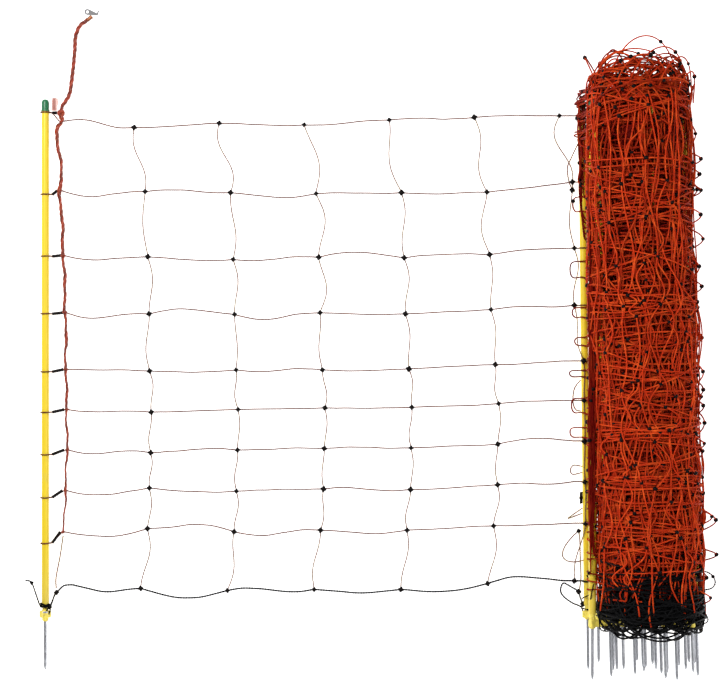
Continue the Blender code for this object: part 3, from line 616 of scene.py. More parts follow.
class Bundle:
    """Closed tubes collected into one mesh, with a UV map along and round them and a tone for each."""

    def __init__(self):
        self.points = []
        self.faces = []
        self.uvs = []
        self.tones = []
        self.count = 0

    def tube(self, points, radius, sides=8, up=None, lobes=0, depth=0.0, twist=0.0, tone=1.0, flat=1.0):
        """Adds a tube round a line. Lobes give it plies, and twist is the length of one turn of them."""
        points = np.asarray(points, float)
        count = len(points)
        if up is None:
            side, over = carried_sides(points)
        else:
            ahead = directions(points)
            up = np.broadcast_to(np.asarray(up, float), points.shape)
            over = up - ahead * np.sum(up * ahead, axis=1, keepdims=True)
            over /= np.maximum(np.linalg.norm(over, axis=1, keepdims=True), 1e-9)
            side = np.cross(over, ahead)
        run = np.concatenate([[0.0], np.cumsum(np.linalg.norm(np.diff(points, axis=0), axis=1))])
        angle = np.linspace(0.0, math.tau, sides, endpoint=False)
        turned = angle[None, :] + (run[:, None] * math.tau / twist if twist else 0.0)
        reach = np.broadcast_to(np.asarray(radius, float).reshape(-1, 1), (count, sides)).copy()
        if lobes:
            reach = reach * (1.0 - depth * (0.5 - 0.5 * np.cos(lobes * angle))[None, :])
        sideways = np.cos(turned)[:, :, None] * side[:, None, :]
        upward = flat * np.sin(turned)[:, :, None] * over[:, None, :]
        ring = points[:, None, :] + reach[:, :, None] * (sideways + upward)
        first = np.arange(count - 1)[:, None] * sides + np.arange(sides)[None, :]
        after = np.arange(count - 1)[:, None] * sides + (np.arange(sides)[None, :] + 1) % sides
        quads = np.stack([first, after, after + sides, first + sides], axis=2).reshape(-1, 4)
        part = np.arange(sides) / sides
        low = np.repeat(run[:-1, None], sides, axis=1)
        high = np.repeat(run[1:, None], sides, axis=1)
        here = np.tile(part, (count - 1, 1))
        there = here + 1.0 / sides
        corners = ((low, here), (low, there), (high, there), (high, here))
        uv = np.stack([np.stack(corner, 2) for corner in corners], 2)
        caps = []
        cap_uv = []
        for ring_start, turned_over, at in ((0, True, 0.0), ((count - 1) * sides, False, run[-1])):
            for k in range(sides // 2 - 1):
                quad = [ring_start + k, ring_start + k + 1, ring_start + sides - 2 - k,
                        ring_start + sides - 1 - k]
                caps.append(quad[::-1] if turned_over else quad)
                cap_uv.append([[at, 0.0]] * 4)
        self.points.append(ring.reshape(-1, 3))
        self.faces.append(np.vstack([quads, np.array(caps)]) + self.count)
        self.uvs.append(np.vstack([uv.reshape(-1, 2), np.array(cap_uv).reshape(-1, 2)]))
        self.tones.append(np.broadcast_to(np.asarray(tone, float).reshape(-1, 1),
                                          (count, sides)).reshape(-1))
        self.count += count * sides

    def made(self, name):
        """The bundle as one object."""
        points = np.vstack(self.points)
        faces = np.vstack(self.faces)
        data = bpy.data.meshes.new(name)
        data.vertices.add(len(points))
        data.vertices.foreach_set("co", points.ravel())
        data.loops.add(faces.size)
        data.loops.foreach_set("vertex_index", faces.ravel().astype(np.int32))
        data.polygons.add(len(faces))
        data.polygons.foreach_set("loop_start", np.arange(0, faces.size, 4, dtype=np.int32))
        data.polygons.foreach_set("use_smooth", np.ones(len(faces), bool))
        layer = data.uv_layers.new(name="UVMap")
        layer.data.foreach_set("uv", np.vstack(self.uvs).ravel())
        data.attributes.new("tone", "FLOAT", "POINT").data.foreach_set("value", np.concatenate(self.tones))
        data.update(calc_edges=True)
        return linked(name, data)


def linked(name, data):
    made = bpy.data.objects.new(name, data)
    bpy.context.scene.collection.objects.link(made)
    return made


def finished(piece, body, material):
    """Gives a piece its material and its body."""
    piece.data.materials.clear()
    piece.data.materials.append(finish_named(material))
    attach(piece, body)
    return piece


class Solid:
    """Points and faces of a mesh that isn't a bundle of tubes."""

    def __init__(self):
        self.points = []
        self.faces = []

    def rings(self, rings, close=True):
        """Adds rings of points, each joined to the next, with its ends closed."""
        start = len(self.points)
        sides = len(rings[0])
        for ring in rings:
            self.points += [tuple(point) for point in ring]
        for i in range(len(rings) - 1):
            for k in range(sides):
                a = start + i * sides + k
                b = start + i * sides + (k + 1) % sides
                self.faces.append((a, b, b + sides, a + sides))
        if close:
            self.faces.append(tuple(start + k for k in range(sides))[::-1])
            last = start + (len(rings) - 1) * sides
            self.faces.append(tuple(last + k for k in range(sides)))

    def lathe(self, profile, sides, matrix):
        """Adds a turned solid about the matrix's Z axis, from its lowest ring up."""
        rings = []
        for radius, height in profile:
            ring = []
            for k in range(sides):
                angle = math.tau * k / sides
                ring.append(matrix @ Vector((radius * math.cos(angle), radius * math.sin(angle), height)))
            rings.append(ring)
        self.rings(rings)

    def plate(self, outline, bottom, top, bevel, matrix):
        """Adds a plate with bevelled edges. Its outline runs anticlockwise."""
        rings = []
        for height, inset in ((bottom, bevel), (bottom + bevel, 0.0), (top - bevel, 0.0), (top, bevel)):
            ring = []
            count = len(outline)
            for k, (x, y) in enumerate(outline):
                before = outline[k - 1]
                after = outline[(k + 1) % count]
                edge = Vector((after[0] - before[0], after[1] - before[1])).normalized()
                ring.append(matrix @ Vector((x - edge.y * inset, y + edge.x * inset, height)))
            rings.append(ring)
        self.rings(rings)

    def made(self, name, smooth=True):
        data = bpy.data.meshes.new(name)
        data.from_pydata(self.points, [], self.faces)
        data.update()
        if smooth:
            data.shade_smooth()
            data.set_sharp_from_angle(angle=math.radians(38))
        return linked(name, data)


# ---- studio ----


class NET_OT_studio(bpy.types.Operator):
    """Adds the floor, the soft lights and the camera"""

    bl_idname = "net.studio"
    bl_label = "Studio"

    def execute(self, context):
        settings = context.scene.net_studio
        look_at_x = -0.514
        data = bpy.data.cameras.new("camera")
        data.lens = settings.lens
        data.sensor_width = 36.0
        camera = linked("camera", data)
        camera.location = (look_at_x, 0.0, settings.camera_height)
        context.scene.camera = camera

        half = 6.0
        floor = bpy.data.meshes.new("floor")
        corners = [(-half, -half, 0.0), (half, -half, 0.0), (half, half, 0.0), (-half, half, 0.0)]
        floor.from_pydata(corners, [], [(0, 1, 2, 3)])
        paint = Finish("floor paint", Roughness=0.9, Specular_IOR_Level=0.1)
        paint.varies("Base Color", tuple(settings.floor))
        paint.shader.inputs["Emission Color"].default_value = (1.0, 1.0, 1.0, 1.0)
        paint.shader.inputs["Emission Strength"].default_value = 1.0
        floor.materials.append(paint.material)
        linked("floor", floor)

        for name, place, size, power in (
            ("key light", (-1.7, 1.3, 2.4), 1.2, 74.0),
            ("fill light", (1.6, -0.2, 2.4), 1.4, 26.0),
            ("foot light", (-0.4, -2.2, 1.9), 1.4, 18.0),
        ):
            lamp = bpy.data.lights.new(name, "AREA")
            lamp.shape = "DISK"
            lamp.size = size
            lamp.energy = power
            light = linked(name, lamp)
            light.location = place
            aim = Vector((-0.4, 0.0, 0.0)) - Vector(place)
            light.rotation_euler = aim.to_track_quat("-Z", "Y").to_euler()

        world = bpy.data.worlds.new("studio")
        world.use_nodes = True
        world.node_tree.nodes["Background"].inputs[0].default_value = (1.0, 1.0, 1.0, 1.0)
        world.node_tree.nodes["Background"].inputs[1].default_value = 0.20
        context.scene.world = world
        context.scene.view_settings.view_transform = "Standard"
        return {"FINISHED"}


# ---- lead, clip and ground tail ----


def plied(bundle, line, radius, twist, plies=3, sides=10, fuzz=0.0, seed=1):
    """Adds plies twisted round a line, each a tube, filling that radius together."""
    line = np.asarray(line)
    side, over = carried_sides(line)
    run = np.concatenate([[0.0], np.cumsum(np.linalg.norm(np.diff(line, axis=0), axis=1))])
    radius = np.broadcast_to(np.asarray(radius, float).reshape(-1), (len(line),))
    rng = np.random.default_rng(seed)
    places = np.arange(0.0, run[-1] + 0.02, 0.01)
    for ply in range(plies):
        wander = rng.uniform(-1.0, 1.0, int(run[-1] / 0.01) + 3)[: len(places)]
        loose = 1.0 + fuzz * np.interp(run, places, wander)
        angle = run * math.tau / twist + math.tau * ply / plies
        off = radius * 0.46 * loose
        centre = line + side * (np.cos(angle) * off)[:, None] + over * (np.sin(angle) * off)[:, None]
        bundle.tube(centre, radius * 0.56, sides, tone=0.08 + 0.92 * ply / (plies - 1))


class NET_OT_lead(bpy.types.Operator):
    """Makes the red connecting lead with its knot, tail and clip"""

    bl_idname = "net.lead"
    bl_label = "Connecting lead"

    def execute(self, context):
        line = route(TAIL_ROUTE, 0.0012)
        bundle = Bundle()
        plied(bundle, line, TAIL_R, 0.034, fuzz=0.20, seed=3)
        tail = finished(bundle.made("connecting_lead_tail"), "panel", "red lead")
        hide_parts("lead_tail")
        crimp = self.shown_as_made("lead_ferrule", "copper crimp")
        clip = self.shown_as_made("lead_clip", "stamped clip")
        self.riser()
        return {"FINISHED"}

    @staticmethod
    def shown_as_made(name, material):
        """A solid of the CAD that is shown as it is, in a material of its own."""
        piece = bpy.data.objects[name]
        piece.data.materials.clear()
        piece.data.materials.append(finish_named(material))
        return piece

    def riser(self):
        """The lead down to the lowest live strand, tied to each strand, and the knot above it."""
        flat = [(x, y, 0.0) for x, y in LEAD_ROUTE]
        line = route(flat, 0.0016)
        top = line[0][1]
        bottom = line[-1][1]
        share = (line[:, 1] - bottom) / (top - bottom)
        radius = LEAD_R_BOTTOM + (LEAD_R_TOP - LEAD_R_BOTTOM) * np.minimum(1.0, share * 1.3)
        heights = np.array(AT_LEAD[1:])
        nearest = np.abs(line[:, 1][:, None] - heights[None, :]).min(axis=1)
        radius = radius + 0.0006 * np.exp(-((nearest / 0.006) ** 2))
        wobble = 1.0 + 0.16 * np.sin(line[:, 1] * 88.0) * np.sin(line[:, 1] * 23.0 + 1.0)
        line[:, 0] += 0.0012 * np.sin(line[:, 1] * 61.0) + 0.0007 * np.sin(line[:, 1] * 147.0)
        line[:, 2] = 0.0049 + radius + 0.0006
        bundle = Bundle()
        plied(bundle, line, radius * wobble, 0.036, fuzz=0.30, seed=8)
        for height in heights:
            place = np.abs(line[:, 1] - height).argmin()
            self.tie(bundle, line[place], radius[place])
        riser = finished(bundle.made("connecting_lead_riser"), "panel", "red lead")
        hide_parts("lead_riser")

        knot = Bundle()
        centre = np.array(LEAD_KNOT)
        t = np.linspace(0.0, math.tau, 90)
        loops = np.column_stack([
            (np.sin(t) + 2 * np.sin(2 * t)) * 0.0017,
            (np.cos(t) - 2 * np.cos(2 * t)) * 0.0030,
            -np.sin(3 * t) * 0.0024,
        ])
        knot.tube((centre + loops)[:-1], 0.0024, 10, tone=0.9)
        strap = [(-0.001, -0.0165, -0.001), (0.003, -0.009, 0.001), (-0.002, 0.001, 0.002),
                 (0.001, 0.010, 0.0), (0.002, 0.0155, -0.002)]
        plied(knot, route([tuple(centre + np.array(p)) for p in strap], 0.001), 0.0034, 0.016, seed=5)
        made = finished(knot.made("connecting_lead_knot"), "panel", "red lead")
        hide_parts("lead_knot")

    @staticmethod
    def tie(bundle, place, radius):
        """Two turns of a thin ply round the lead where a live strand joins it."""
        t = np.linspace(0.0, 2.2 * math.tau, 40)
        reach = radius + 0.0005
        turns = np.column_stack([
            place[0] + np.cos(t) * reach,
            place[1] - 0.0016 + t / t[-1] * 0.0032,
            place[2] + np.sin(t) * reach * 0.95,
        ])
        bundle.tube(turns, 0.0006, 6, tone=0.75)


class NET_OT_ground_tail(bpy.types.Operator):
    """Makes the free end of the black ground strand, with its knot"""

    bl_idname = "net.ground_tail"
    bl_label = "Ground tail"

    def execute(self, context):
        line = route(GROUND_TAIL_ROUTE, 0.0008)
        bundle = Bundle()
        bundle.tube(line, GROUND_TAIL_R, 12, lobes=2, depth=0.25, twist=0.010)
        tail = finished(bundle.made("ground_tail_end"), "panel", "ground strand")
        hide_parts("ground_tail")
        turns = Bundle()
        centre = np.array(GROUND_TAIL_ROUTE[3])
        t = np.linspace(0.0, math.tau, 70)
        loops = np.column_stack([
            (np.sin(t) + 2 * np.sin(2 * t)) * 0.0009,
            (np.cos(t) - 2 * np.cos(2 * t)) * 0.0009,
            0.0014 - np.sin(3 * t) * 0.0010,
        ])
        turns.tube((centre + loops)[:-1], 0.0013, 8)
        knot = finished(turns.made("ground_tail_knot"), "panel", "ground strand")
        return {"FINISHED"}


# ---- panel ----


def row_y(row, x):
    """Height of a strand at x: from the lead through its knots, bowed between them."""
    if row == GROUND:
        start_x = -1.0280
        start = -0.4505
    elif row == 0:
        start_x = LEAD_KNOT[0] + 0.006
        start = TOP_STRAND_LEAVES
    else:
        start_x = lead_x(AT_LEAD[row])
        start = AT_LEAD[row]
    stops = np.array([start_x] + [knot_x(row, column) for column in range(COLUMNS)])
    heights = np.array([start] + [height * MM for height in KNOT_HEIGHTS[row]])
    bows = np.array(ROW_BOWS[row]) * MM
    cell = np.clip(np.searchsorted(stops, x) - 1, 0, COLUMNS - 1)
    share = np.clip((x - stops[cell]) / (stops[cell + 1] - stops[cell]), 0.0, 1.0)
    bent = bows[cell, 0] * np.sin(math.pi * share) + bows[cell, 1] * np.sin(math.tau * share)
    return heights[cell] + (heights[cell + 1] - heights[cell]) * share + bent


def knot_x(row, column):
    _, _, first, pitch = ROWS[row]
    return min(first + column * pitch, LAST_KNOT_X)


def knot_place(row, column):
    """Where a knot of the panel sits: the last ones of the lower strands ride on the outer post."""
    x = knot_x(row, column)
    y = float(row_y(row, x))
    if column == COLUMNS - 1 and 4 <= row < GROUND:
        return outer_post_x(y) - 0.0030, y, POST_Z + 0.0102
    return x, y, COLUMN_Z


def outer_post_x(y):
    return OUTER_POST_X - math.tan(OUTER_POST_LEAN) * y


def beside_post(points):
    """Points given beside an upright outer post, moved with its lean."""
    return [(x + outer_post_x(y) - OUTER_POST_X, y, z) for x, y, z in points]


def arc(centre_x, y, radius, start, end, steps):
    angle = np.linspace(start, end, steps)
    return np.column_stack([centre_x + radius * np.cos(angle), np.full(steps, y),
                            POST_Z + radius * np.sin(angle)])


def lead_x(y):
    places = sorted((height, x) for x, height in LEAD_ROUTE)
    return float(np.interp(y, [p[0] for p in places], [p[1] for p in places]))


def sleeve_line(row):
    """Both ends of the sleeve's axis, from beside the post to the lead."""
    left = END_POST_X + 0.0118
    start = ROWS[row][0]
    if row == 0:
        return (left, start), (LEAD_KNOT[0] - 0.0084, start)
    end = AT_LEAD[row]
    right = lead_x(end) - 0.0042
    lean = math.atan2(end - start, right - left)
    return (left, start), (right - 0.0029 * abs(math.sin(lean)), end)


def row_line(row):
    """The whole route of a strand: its end, a loop round the end post, the panel and the outer post."""
    at_post = ROWS[row][0]
    rng = np.random.default_rng(100 + row)
    ground = row == GROUND
    z = GROUND_Z if ground else ROW_Z
    if ground:
        x, y = CORNER_KNOT
        wrap = arc(END_POST_X, at_post, 0.0086, math.radians(155), math.radians(-20), 16)
        wrap[:, 1] = np.linspace(at_post + 0.009, at_post + 0.001, len(wrap))
        start = np.vstack([
            wrap,
            route([(END_POST_X + 0.0092, at_post + 0.002, 0.0070), (x - 0.003, y - 0.003, z),
                   (x + 0.003, y + 0.003, z),
                   (-1.0740, -0.4450, z), (-1.0587, -0.4433, z)], 0.002),
        ])
        first_x = -1.0280
    else:
        (left, _), (right, at_lead) = sleeve_line(row)
        loop = arc(END_POST_X, at_post, LOOP_R, math.radians(-42), math.radians(-318), 26)
        start = np.vstack([[(left + 0.004, at_post + 0.004 * (at_lead - at_post) / (right - left), 0.0019),
                            (left, at_post, 0.0019)], loop,
                            [(left, at_post, 0.0042), (right, at_lead, 0.0042)]])
        first_x = right + 0.004
    end_y = float(row_y(row, LAST_KNOT_X))
    x = np.arange(first_x, outer_post_x(end_y) - 0.001, 0.0015)
    y = row_y(row, x)
    kinks = np.array([knot_x(row, column) for column in range(COLUMNS)])
    off = np.abs(x[:, None] - kinks[None, :]).min(axis=1)
    free = smoothstep(off / 0.03) * smoothstep((x - first_x) / 0.03)
    places = np.arange(first_x - 0.1, 0.1, 0.024)
    ripple = np.interp(x, places, rng.uniform(-1.0, 1.0, len(places)))
    ripple = np.convolve(np.pad(ripple, 6, mode="edge"), np.ones(13) / 13, mode="valid")
    y = y + free * ripple * 0.0008
    lift = 0.0012 * free * (0.5 + 0.5 * np.sin(x * 17.0 + row))
    middle = np.column_stack([x, y, z + lift])
    near = smoothstep((x - outer_post_x(end_y) + 0.016) / 0.016)
    under = POST_Z - LOOP_R if not ground else POST_Z - 0.0089
    middle[:, 2] = middle[:, 2] * (1 - near) + under * near
    last = arc(outer_post_x(end_y), middle[-1, 1], LOOP_R if not ground else 0.0089,
               math.radians(268), math.radians(268 + 285), 26)
    return start, middle, last


class NET_OT_panel(bpy.types.Operator):
    """Makes the strands of the spread panel, their knots and sleeves"""

    bl_idname = "net.panel"
    bl_label = "Panel"

    def execute(self, context):
        s = sizes()
        strand_r = s.strand / 2
        ground_r = s.ground / 2
        bundle = Bundle()
        for row in range(GROUND):
            start, middle, last = row_line(row)
            bundle.tube(even(start, 0.0015), strand_r, 6, lobes=3, depth=0.20, twist=s.twist)
            whole = np.vstack([start[-2:-1], middle])
            bundle.tube(even(whole, 0.0015), strand_r, 6, up=(0.0, 0.0, 1.0), lobes=3, depth=0.20,
                        twist=s.twist)
            bundle.tube(np.vstack([middle[-3:-1], last]), strand_r, 6, up=(0.0, 1.0, 0.0), lobes=3,
                        depth=0.20, twist=s.twist)
        rows = finished(bundle.made("panel_rows"), "panel", "live strand")
        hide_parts(*[f"row_strand_{row + 1}" for row in range(GROUND)])

        bundle = Bundle()
        start, middle, last = row_line(GROUND)
        whole = np.vstack([start, middle])
        bundle.tube(even(whole, 0.0015), ground_r, 8, lobes=2, depth=0.22, twist=0.010)
        bundle.tube(np.vstack([middle[-3:-1], last]), ground_r, 8, up=(0.0, 1.0, 0.0), lobes=2, depth=0.22,
                    twist=0.010)
        for loop in [beside_post(loop) for loop in self.ground_loops()] + list(self.foot_wraps()):
            bundle.tube(even(route(loop, 0.002), 0.0015), ground_r * 0.92, 8, lobes=2, depth=0.22,
                        twist=0.010)
        ground = finished(bundle.made("panel_ground_strand"), "panel", "ground strand")
        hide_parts("ground_strand")

        bundle = Bundle()
        for column in range(COLUMNS):
            bundle.tube(even(self.column_line(column), 0.0015), strand_r * 0.9, 6, up=(0.0, 0.0, 1.0),
                        lobes=3, depth=0.20, twist=s.twist)
        for loop in self.live_loops():
            bundle.tube(even(route(beside_post(loop), 0.002), 0.0015), strand_r * 0.95, 6, lobes=3,
                        depth=0.20, twist=s.twist)
        edge = [(-1.0757, -0.3515, ROW_Z), (-1.0815, -0.3900, ROW_Z), (-1.0890, -0.4300, ROW_Z),
                (-1.0888, -0.4500, ROW_Z)]
        bundle.tube(even(route(edge, 0.002), 0.0015), strand_r, 6, lobes=3, depth=0.20, twist=s.twist)
        columns = finished(bundle.made("panel_columns"), "panel", "cross strand")
        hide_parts("edge_strand", *[f"column_strand_{column + 1}" for column in range(COLUMNS)])

        places = []
        for row in range(len(ROWS)):
            for column in range(COLUMNS):
                x, y, z = knot_place(row, column)
                places.append((x, y, z - 0.0002))
        places += [(CORNER_KNOT[0], CORNER_KNOT[1], 0.0052)] + beside_post(self.loop_knots())
        places.append((END_POST_X + 0.0086, -0.4835, 0.0150))
        knots = knots_at("panel_knots", places, s.knot, 2, 7)
        finished(knots, "panel", "moulded knot")
        self.sleeves()
        self.post_clip()
        return {"FINISHED"}

    @staticmethod
    def post_clip():
        """Two small black clips on the outer post."""
        solid = Solid()
        for x, y, z, length, width in ((-0.1096, -0.2800, 0.0120, 0.0230, 0.0050),
                                       (-0.0905, -0.3130, 0.0200, 0.0160, 0.0042)):
            x += outer_post_x(y) - OUTER_POST_X
            outline = [(-width / 2, -length / 2), (width / 2, -length / 2 + 0.001), (width / 2, length / 2),
                       (-width / 2, length / 2 - 0.001)]
            solid.plate(outline, -0.0018, 0.0018, 0.0007, Matrix.Translation((x, y, z)))
            solid.plate([(px * 1.3, py * 0.22) for px, py in outline], -0.0024, 0.0024, 0.0007,
                        Matrix.Translation((x, y, z)))
        finished(solid.made("post_clips"), "roll", "moulded knot")

    @staticmethod
    def column_line(column):
        """A cross strand through its knots, bowed between them."""
        whole = []
        for row in range(len(ROWS) - 1):
            x, y, high = knot_place(row, column)
            below, lower, low = knot_place(row + 1, column)
            bow, double = (value * MM for value in BOWS[column][row])
            t = np.linspace(0.0, 1.0, 40, endpoint=False)
            bent = bow * np.sin(math.pi * t) ** 1.3 + double * np.sin(math.tau * t)
            z = high + (low - high) * smoothstep(t if high > low else t * 2.0)
            if high == low:
                z = z - 0.0014 * np.sin(math.pi * t) ** 0.5 + 0.0006 * np.sin(3 * math.pi * t + column)
            if high > COLUMN_Z and low > COLUMN_Z:
                bent = bent * 0.2
            whole.append(np.column_stack([x + (below - x) * t + bent, y + (lower - y) * t, z]))
        first = whole[0][0].copy()
        last = np.array([below, lower, low])
        first[1] += 0.0045
        return np.vstack([[first], *whole, [last], [last + np.array([0.0, -0.0045, 0.0])]])

    @staticmethod
    def live_loops():
        """Slack of the live strands beside the outer post."""
        return (
            ((-0.1060, -0.2215, 0.006), (-0.1220, -0.2195, 0.004), (-0.1283, -0.2285, 0.003),
             (-0.1240, -0.2365, 0.003), (-0.1060, -0.2330, 0.006)),
            ((-0.1067, -0.2997, 0.006), (-0.1200, -0.3090, 0.004), (-0.1338, -0.3190, 0.003),
             (-0.1310, -0.3185, 0.003), (-0.1070, -0.3095, 0.006)),
            ((-0.1141, -0.3424, 0.005), (-0.1272, -0.3545, 0.004), (-0.1402, -0.3720, 0.003),
             (-0.1450, -0.3880, 0.003),
             (-0.1373, -0.3980, 0.003), (-0.1215, -0.4005, 0.004), (-0.1060, -0.3975, 0.006)),
            ((-0.1141, -0.3424, 0.005), (-0.1121, -0.3600, 0.004), (-0.1117, -0.3900, 0.003),
             (-0.1108, -0.4300, 0.003), (-0.1140, -0.4540, 0.004)),
            ((-0.1040, 0.3900, 0.014), (-0.1200, 0.3560, 0.005), (-0.1275, 0.3376, 0.003),
             (-0.1250, 0.3130, 0.003), (-0.1190, 0.2960, 0.005)),
            ((-0.1075, -0.0600, 0.007), (-0.1190, -0.0760, 0.004), (-0.1220, -0.1000, 0.003),
             (-0.1170, -0.1150, 0.003), (-0.1075, -0.1180, 0.006)),
        )

    @staticmethod
    def ground_loops():
        """Slack of the ground strand round the outer post and its foot."""
        return (
            ((-0.1416, -0.4400, 0.004), (-0.1280, -0.4480, 0.0035), (-0.1156, -0.4559, 0.004),
             (-0.1128, -0.4665, 0.004), (-0.1083, -0.4790, 0.007)),
            ((-0.1416, -0.4400, 0.004), (-0.1464, -0.4425, 0.0035), (-0.1492, -0.4553, 0.003),
             (-0.1430, -0.4660, 0.003),
             (-0.1272, -0.4775, 0.003), (-0.1120, -0.4840, 0.0035), (-0.1080, -0.4925, 0.006)),
        )

    @staticmethod
    def foot_wraps():
        """Turns of the ground strand round the end post's neck, and its loop down to the foot."""
        made = []
        for number, (high, low, reach) in enumerate(((-0.4790, -0.4860, 0.0089),
                                                     (-0.4835, -0.4800, 0.0093))):
            turn = np.linspace(-0.35, math.tau - 0.55, 22)
            heights = np.linspace(high, low, len(turn)) + 0.0012 * np.sin(turn * 2 + number)
            made.append(np.column_stack([
                END_POST_X + reach * np.cos(turn), heights,
                np.maximum(POST_Z + reach * np.sin(turn), 0.0022)
            ]))
        x = END_POST_X
        made.append([
            (x + 0.0070, -0.4810, 0.0165), (x + 0.0096, -0.4850, 0.0150), (x + 0.0090, -0.4925, 0.0140),
            (x + 0.0060, -0.4985, 0.0165), (x + 0.0030, -0.4940, 0.0185), (x + 0.0060, -0.4860, 0.0182),
            (x + 0.0100, -0.4830, 0.0150),
        ])
        return tuple(made)

    @staticmethod
    def loop_knots():
        return ((-0.1156, -0.4559, 0.0055), (-0.1141, -0.3424, 0.0058), (-0.1190, 0.2955, 0.0056),
                (-0.1080, -0.4790, 0.0090))

    @staticmethod
    def sleeves():
        """Black sleeves round the two legs of each strand's loop, ribbed, with a collar at the lead."""
        solid = Solid()
        for row in range(GROUND):
            (left, start), (right, end) = sleeve_line(row)
            lean = math.atan2(end - start, right - left)
            axis = Matrix.Translation((left, start, 0.0032)) @ Matrix.Rotation(lean, 4, "Z")
            axis = axis @ Matrix.Rotation(math.radians(90), 4, "Y")
            length = math.hypot(right - left, end - start) - 0.0004
            profile = [(0.0012, -0.0002), (0.0024, 0.0), (0.0030, 0.0008)]
            for k in range(9):
                reach = 0.0030 - (0.00035 if k % 2 else 0.0)
                profile.append((reach, 0.0016 + (length - 0.0046) * k / 8))
            profile += [(0.0030, length - 0.0022), (0.0031, length - 0.0018), (0.0031, length - 0.0004),
                        (0.0026, length)]
            solid.lathe(profile, 20, axis @ Matrix.Diagonal((0.98, 1.0, 1.0, 1.0)))
        sleeves = finished(solid.made("insulating_sleeves"), "panel", "moulded knot")
        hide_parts(*[f"sleeve_{row + 1}" for row in range(GROUND)])


# ---- knots by Geometry Nodes ----


def knot_tree(name):
    """A tree that puts a moulded knot on every point: a rounded block with a collar along each strand."""
    tree = bpy.data.node_groups.new(name, "GeometryNodeTree")
    face = tree.interface
    face.new_socket(name="Places", in_out="INPUT", socket_type="NodeSocketGeometry")
    width = face.new_socket(name="Width", in_out="INPUT", socket_type="NodeSocketFloat")
    rounding = face.new_socket(name="Rounding", in_out="INPUT", socket_type="NodeSocketInt")
    seed = face.new_socket(name="Seed", in_out="INPUT", socket_type="NodeSocketInt")
    collars = face.new_socket(name="Collars", in_out="INPUT", socket_type="NodeSocketBool")
    finish = face.new_socket(name="Finish", in_out="INPUT", socket_type="NodeSocketMaterial")
    face.new_socket(name="Knots", in_out="OUTPUT", socket_type="NodeSocketGeometry")

    def add(kind, settings=None, given=None):
        made = tree.nodes.new(kind)
        for setting, value in (settings or {}).items():
            setattr(made, setting, value)
        for socket, value in (given or {}).items():
            if isinstance(value, bpy.types.NodeSocket):
                tree.links.new(value, made.inputs[socket])
            else:
                made.inputs[socket].default_value = value
        return made

    given = add("NodeGroupInput").outputs
    block = add("GeometryNodeMeshCube", given={"Size": (1.24, 1.20, 0.90)})
    round_block = add("GeometryNodeSubdivisionSurface",
                      given={"Mesh": block.outputs[0], "Level": given["Rounding"]})
    lumps = []
    for turn in ((0.0, math.pi / 2, 0.0), (math.pi / 2, 0.0, 0.0)):
        collar = add(
            "GeometryNodeMeshCylinder",
            given={"Vertices": 10, "Side Segments": 1, "Radius": 0.25, "Depth": 1.22},
        )
        lumps.append(add("GeometryNodeTransform",
                         given={"Geometry": collar.outputs[0], "Rotation": turn}).outputs[0])
    whole = add("GeometryNodeJoinGeometry")
    for lump in lumps:
        tree.links.new(lump, whole.inputs[0])
    chosen = add("GeometryNodeSwitch", {"input_type": "GEOMETRY"},
                 {0: given["Collars"], 2: whole.outputs[0]})
    both = add("GeometryNodeJoinGeometry")
    tree.links.new(round_block.outputs[0], both.inputs[0])
    tree.links.new(chosen.outputs[0], both.inputs[0])
    smooth = add("GeometryNodeSetShadeSmooth", given={0: both.outputs[0]})
    turn = add("FunctionNodeRandomValue", {"data_type": "FLOAT_VECTOR"},
               {0: (-0.14, -0.14, -0.3), 1: (0.14, 0.14, 0.3), "Seed": given["Seed"]})
    grow = add("FunctionNodeRandomValue", {"data_type": "FLOAT"}, {2: 0.86, 3: 1.14, "Seed": given["Seed"]})
    size = add("ShaderNodeMath", {"operation": "MULTIPLY"}, {0: grow.outputs[1], 1: given["Width"]})
    points = add("GeometryNodeInstanceOnPoints", given={
        "Points": given["Places"], "Instance": smooth.outputs[0], "Rotation": turn.outputs[0],
        "Scale": size.outputs[0],
    })
    real = add("GeometryNodeRealizeInstances", given={0: points.outputs[0]})
    painted = add("GeometryNodeSetMaterial",
                  given={"Geometry": real.outputs[0], "Material": given["Finish"]})
    out = add("NodeGroupOutput")
    tree.links.new(painted.outputs[0], out.inputs[0])
    ids = {"width": width, "rounding": rounding, "seed": seed, "collars": collars, "finish": finish}
    return tree, {key: socket.identifier for key, socket in ids.items()}


def knots_at(name, places, width, rounding, seed, collars=True):
    """A plain mesh of knots at the places."""
    points = bpy.data.meshes.new(f"{name}_places")
    lowest = 0.72 * width
    points.from_pydata([(place[0], place[1], max(place[2], lowest)) for place in places], [], [])
    holder = linked(f"{name}_holder", points)
    tree, ids = knot_tree(f"{name}_tree")
    modifier = holder.modifiers.new("knots", "NODES")
    modifier.node_group = tree
    modifier[ids["width"]] = width
    modifier[ids["rounding"]] = rounding
    modifier[ids["seed"]] = seed
    modifier[ids["collars"]] = collars
    modifier[ids["finish"]] = finish_named("moulded knot")
    graph = bpy.context.evaluated_depsgraph_get()
    graph.update()
    data = bpy.data.meshes.new_from_object(holder.evaluated_get(graph))
    data.name = name
    bpy.data.objects.remove(holder)
    return linked(name, data)


# ---- posts ----


def post_matrix(x, z, lean, tilt, slide=0.0):
    """Post frame: Z up the post, X towards the short spike."""
    leaning = Matrix.Translation((x, 0.0, z)) @ Matrix.Rotation(lean, 4, "Z")
    placed = leaning @ Matrix.Rotation(math.radians(-90), 4, "X")
    turned = placed @ Matrix.Rotation(tilt - math.radians(90), 4, "Z")
    return turned @ Matrix.Translation((0.0, 0.0, slide))


